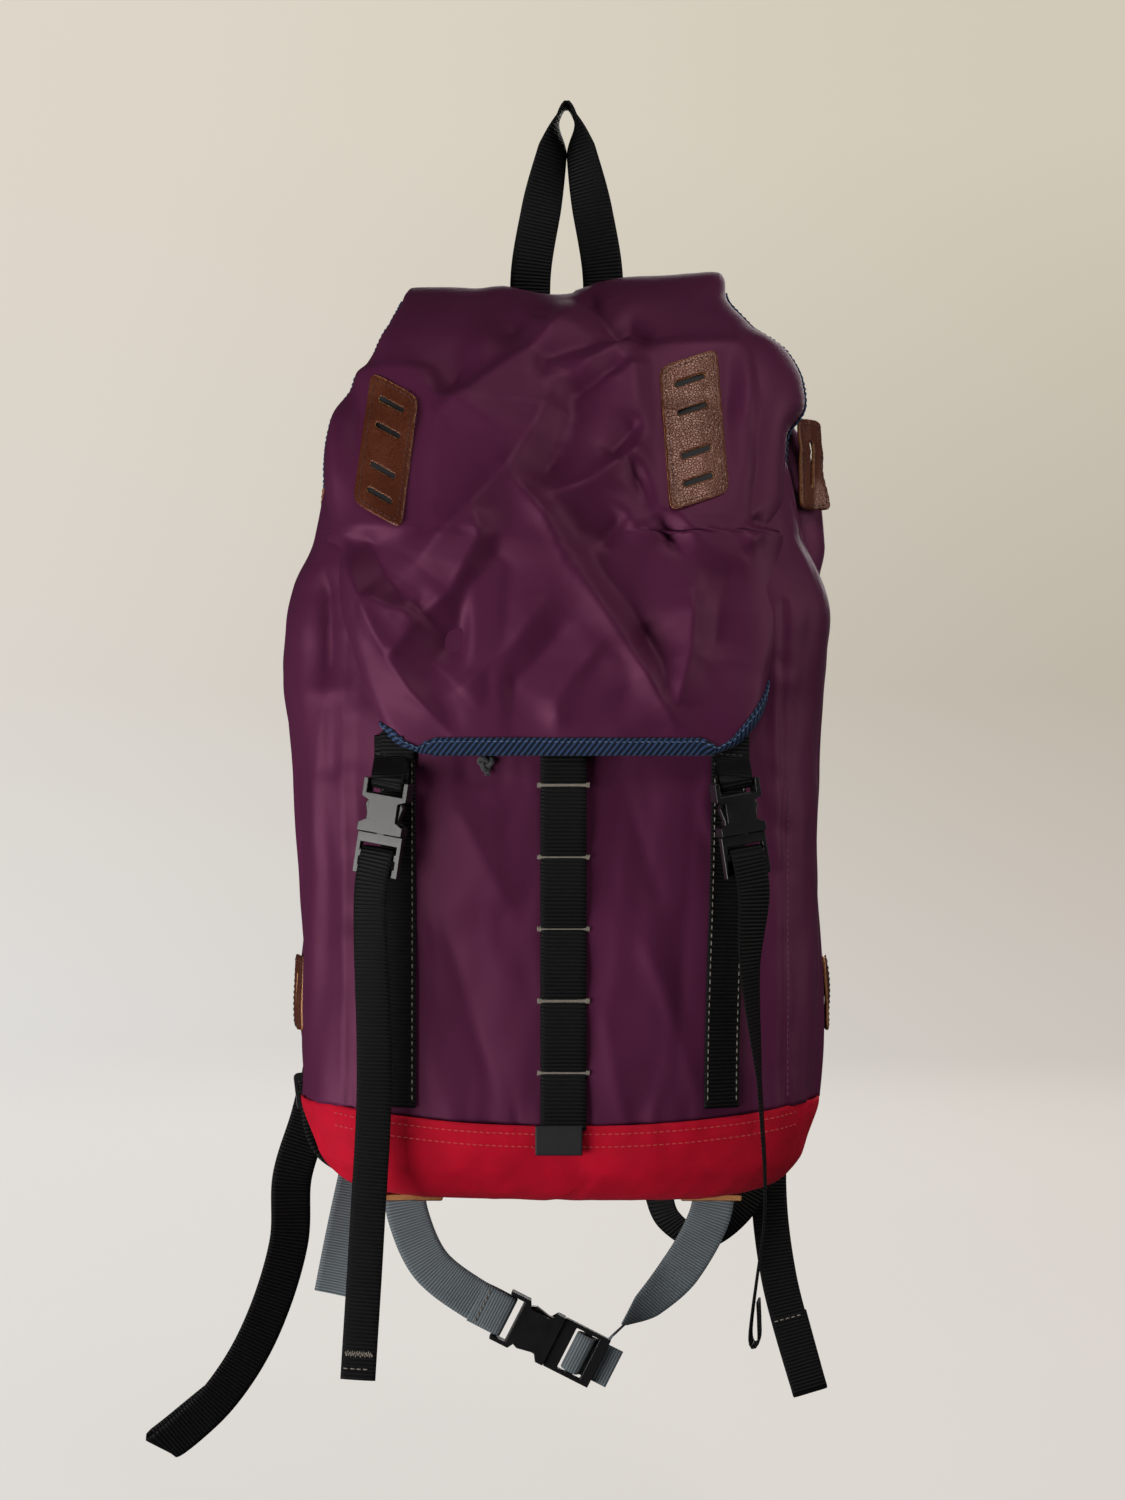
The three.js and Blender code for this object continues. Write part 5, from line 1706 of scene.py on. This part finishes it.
def make_shoulder_pad(side, sign, reach):
    route = [(sign * 0.044, 0.024, -0.134), (sign * 0.050, 0.048, -0.210), (sign * 0.074, 0.056, -0.320),
             (sign * 0.108, 0.044, -0.440), (sign * (reach - 0.004), 0.025, -0.560)]
    count, around = 150, 44
    centre, length = spline(route, count)
    verts, rims = [], ([], [])
    for n, at in enumerate(centre):
        t = n / (count - 1)
        along = (centre[min(n + 1, count - 1)] - centre[max(n - 1, 0)]).normalized()
        wide = Vector((1, 0, sign * 0.1 * t))
        wide = (wide - along * wide.dot(along)).normalized()
        up = along.cross(wide)
        taper = (1 - 0.45 * smooth(0.78, 1.0, t)) * (0.80 + 0.20 * smooth(0, 0.10, t))
        thick = 0.0054 * (1 - 0.5 * smooth(0.9, 1.0, t)) * (0.6 + 0.4 * smooth(0, 0.05, t))
        thick *= 1 - 0.22 * math.exp(-((t * length % 0.070 - 0.035) / 0.0035) ** 2)
        for rim, edge in zip(rims, (-1, 1)):
            rim.append(at + wide * (edge * 0.0270 * taper))
        for s in range(around):
            a = 2 * math.pi * s / around
            c, d = math.cos(a), math.sin(a)
            seam = 0.0012 if abs(c) > 0.97 else 0
            x = 0.0275 * taper * math.copysign(abs(c) ** 0.8, c)
            y = thick * math.copysign(abs(d) ** 0.75, d) + seam * d
            puff = 0.0006 * crumple(x, t * length, 0.02, 0.03, 4.0 + sign)
            verts.append(at + wide * x + up * (y + puff * d))
    pad = mesh_object(f"shoulder_pad_{side}", verts, rounds(count, around, caps=True), "black_cloth")
    wear(pad, f"shoulder_{side}", (f"shoulder_strap_{side}",))
    for rim, edge in zip(rims, (-1, 1)):
        name = f"shoulder_piping_{side}_{'in' if edge * sign < 0 else 'out'}"
        wear(mesh_object(name, *tube(rim, 0.0019, 8), "plum_nylon"), f"shoulder_{side}")


def make_ladder_loop(side, sign, reach):
    """The web from the pad's end round the ladder lock's top bar and back."""
    bar_y, bar_z, turn = 0.022, -0.5775, 0.0041
    end_x, bar_x = sign * (reach - 0.0035), sign * reach
    loop = [(end_x, bar_y + 0.0030, -0.550), (sign * (reach - 0.002), bar_y + 0.0046, -0.566)]
    for back, down in ((1, 0), (0.7, 0.7), (0, 1), (-0.7, 0.7), (-1, 0)):
        loop.append((bar_x, bar_y + turn * back, bar_z - turn * down))
    loop += [(sign * (reach - 0.002), bar_y - 0.0030, -0.566), (end_x, bar_y + 0.0012, -0.550)]
    across = [(1, 0, sign * 0.1)] * len(loop)
    strap(f"ladder_loop_{side}", loop, across, 0.0225, f"shoulder_{side}", step=0.001, ripple=0)


def make_shoulder_pads():
    for side, sign, reach in (("left", -1, 0.148), ("right", 1, 0.128)):
        make_shoulder_pad(side, sign, reach)
        make_ladder_loop(side, sign, reach)


# ------------------------------------------------------------------ the whole pack

make_camera()
make_stage()
make_sack()
make_base()
sack_tree = surface_of(bpy.data.objects["sack_nylon"], bpy.data.objects["red_base"])
lid_tree = make_lid()
make_lid_patches(lid_tree)
make_side_patches(sack_tree)
make_base_pads()
make_daisy_chain(sack_tree)
make_front_strips(sack_tree)
make_lid_straps()
make_haul_loop()
make_shoulder_pads()
make_shoulder_tails()
make_belt()
make_drawcord()
make_collar()
make_back()
make_yoke()
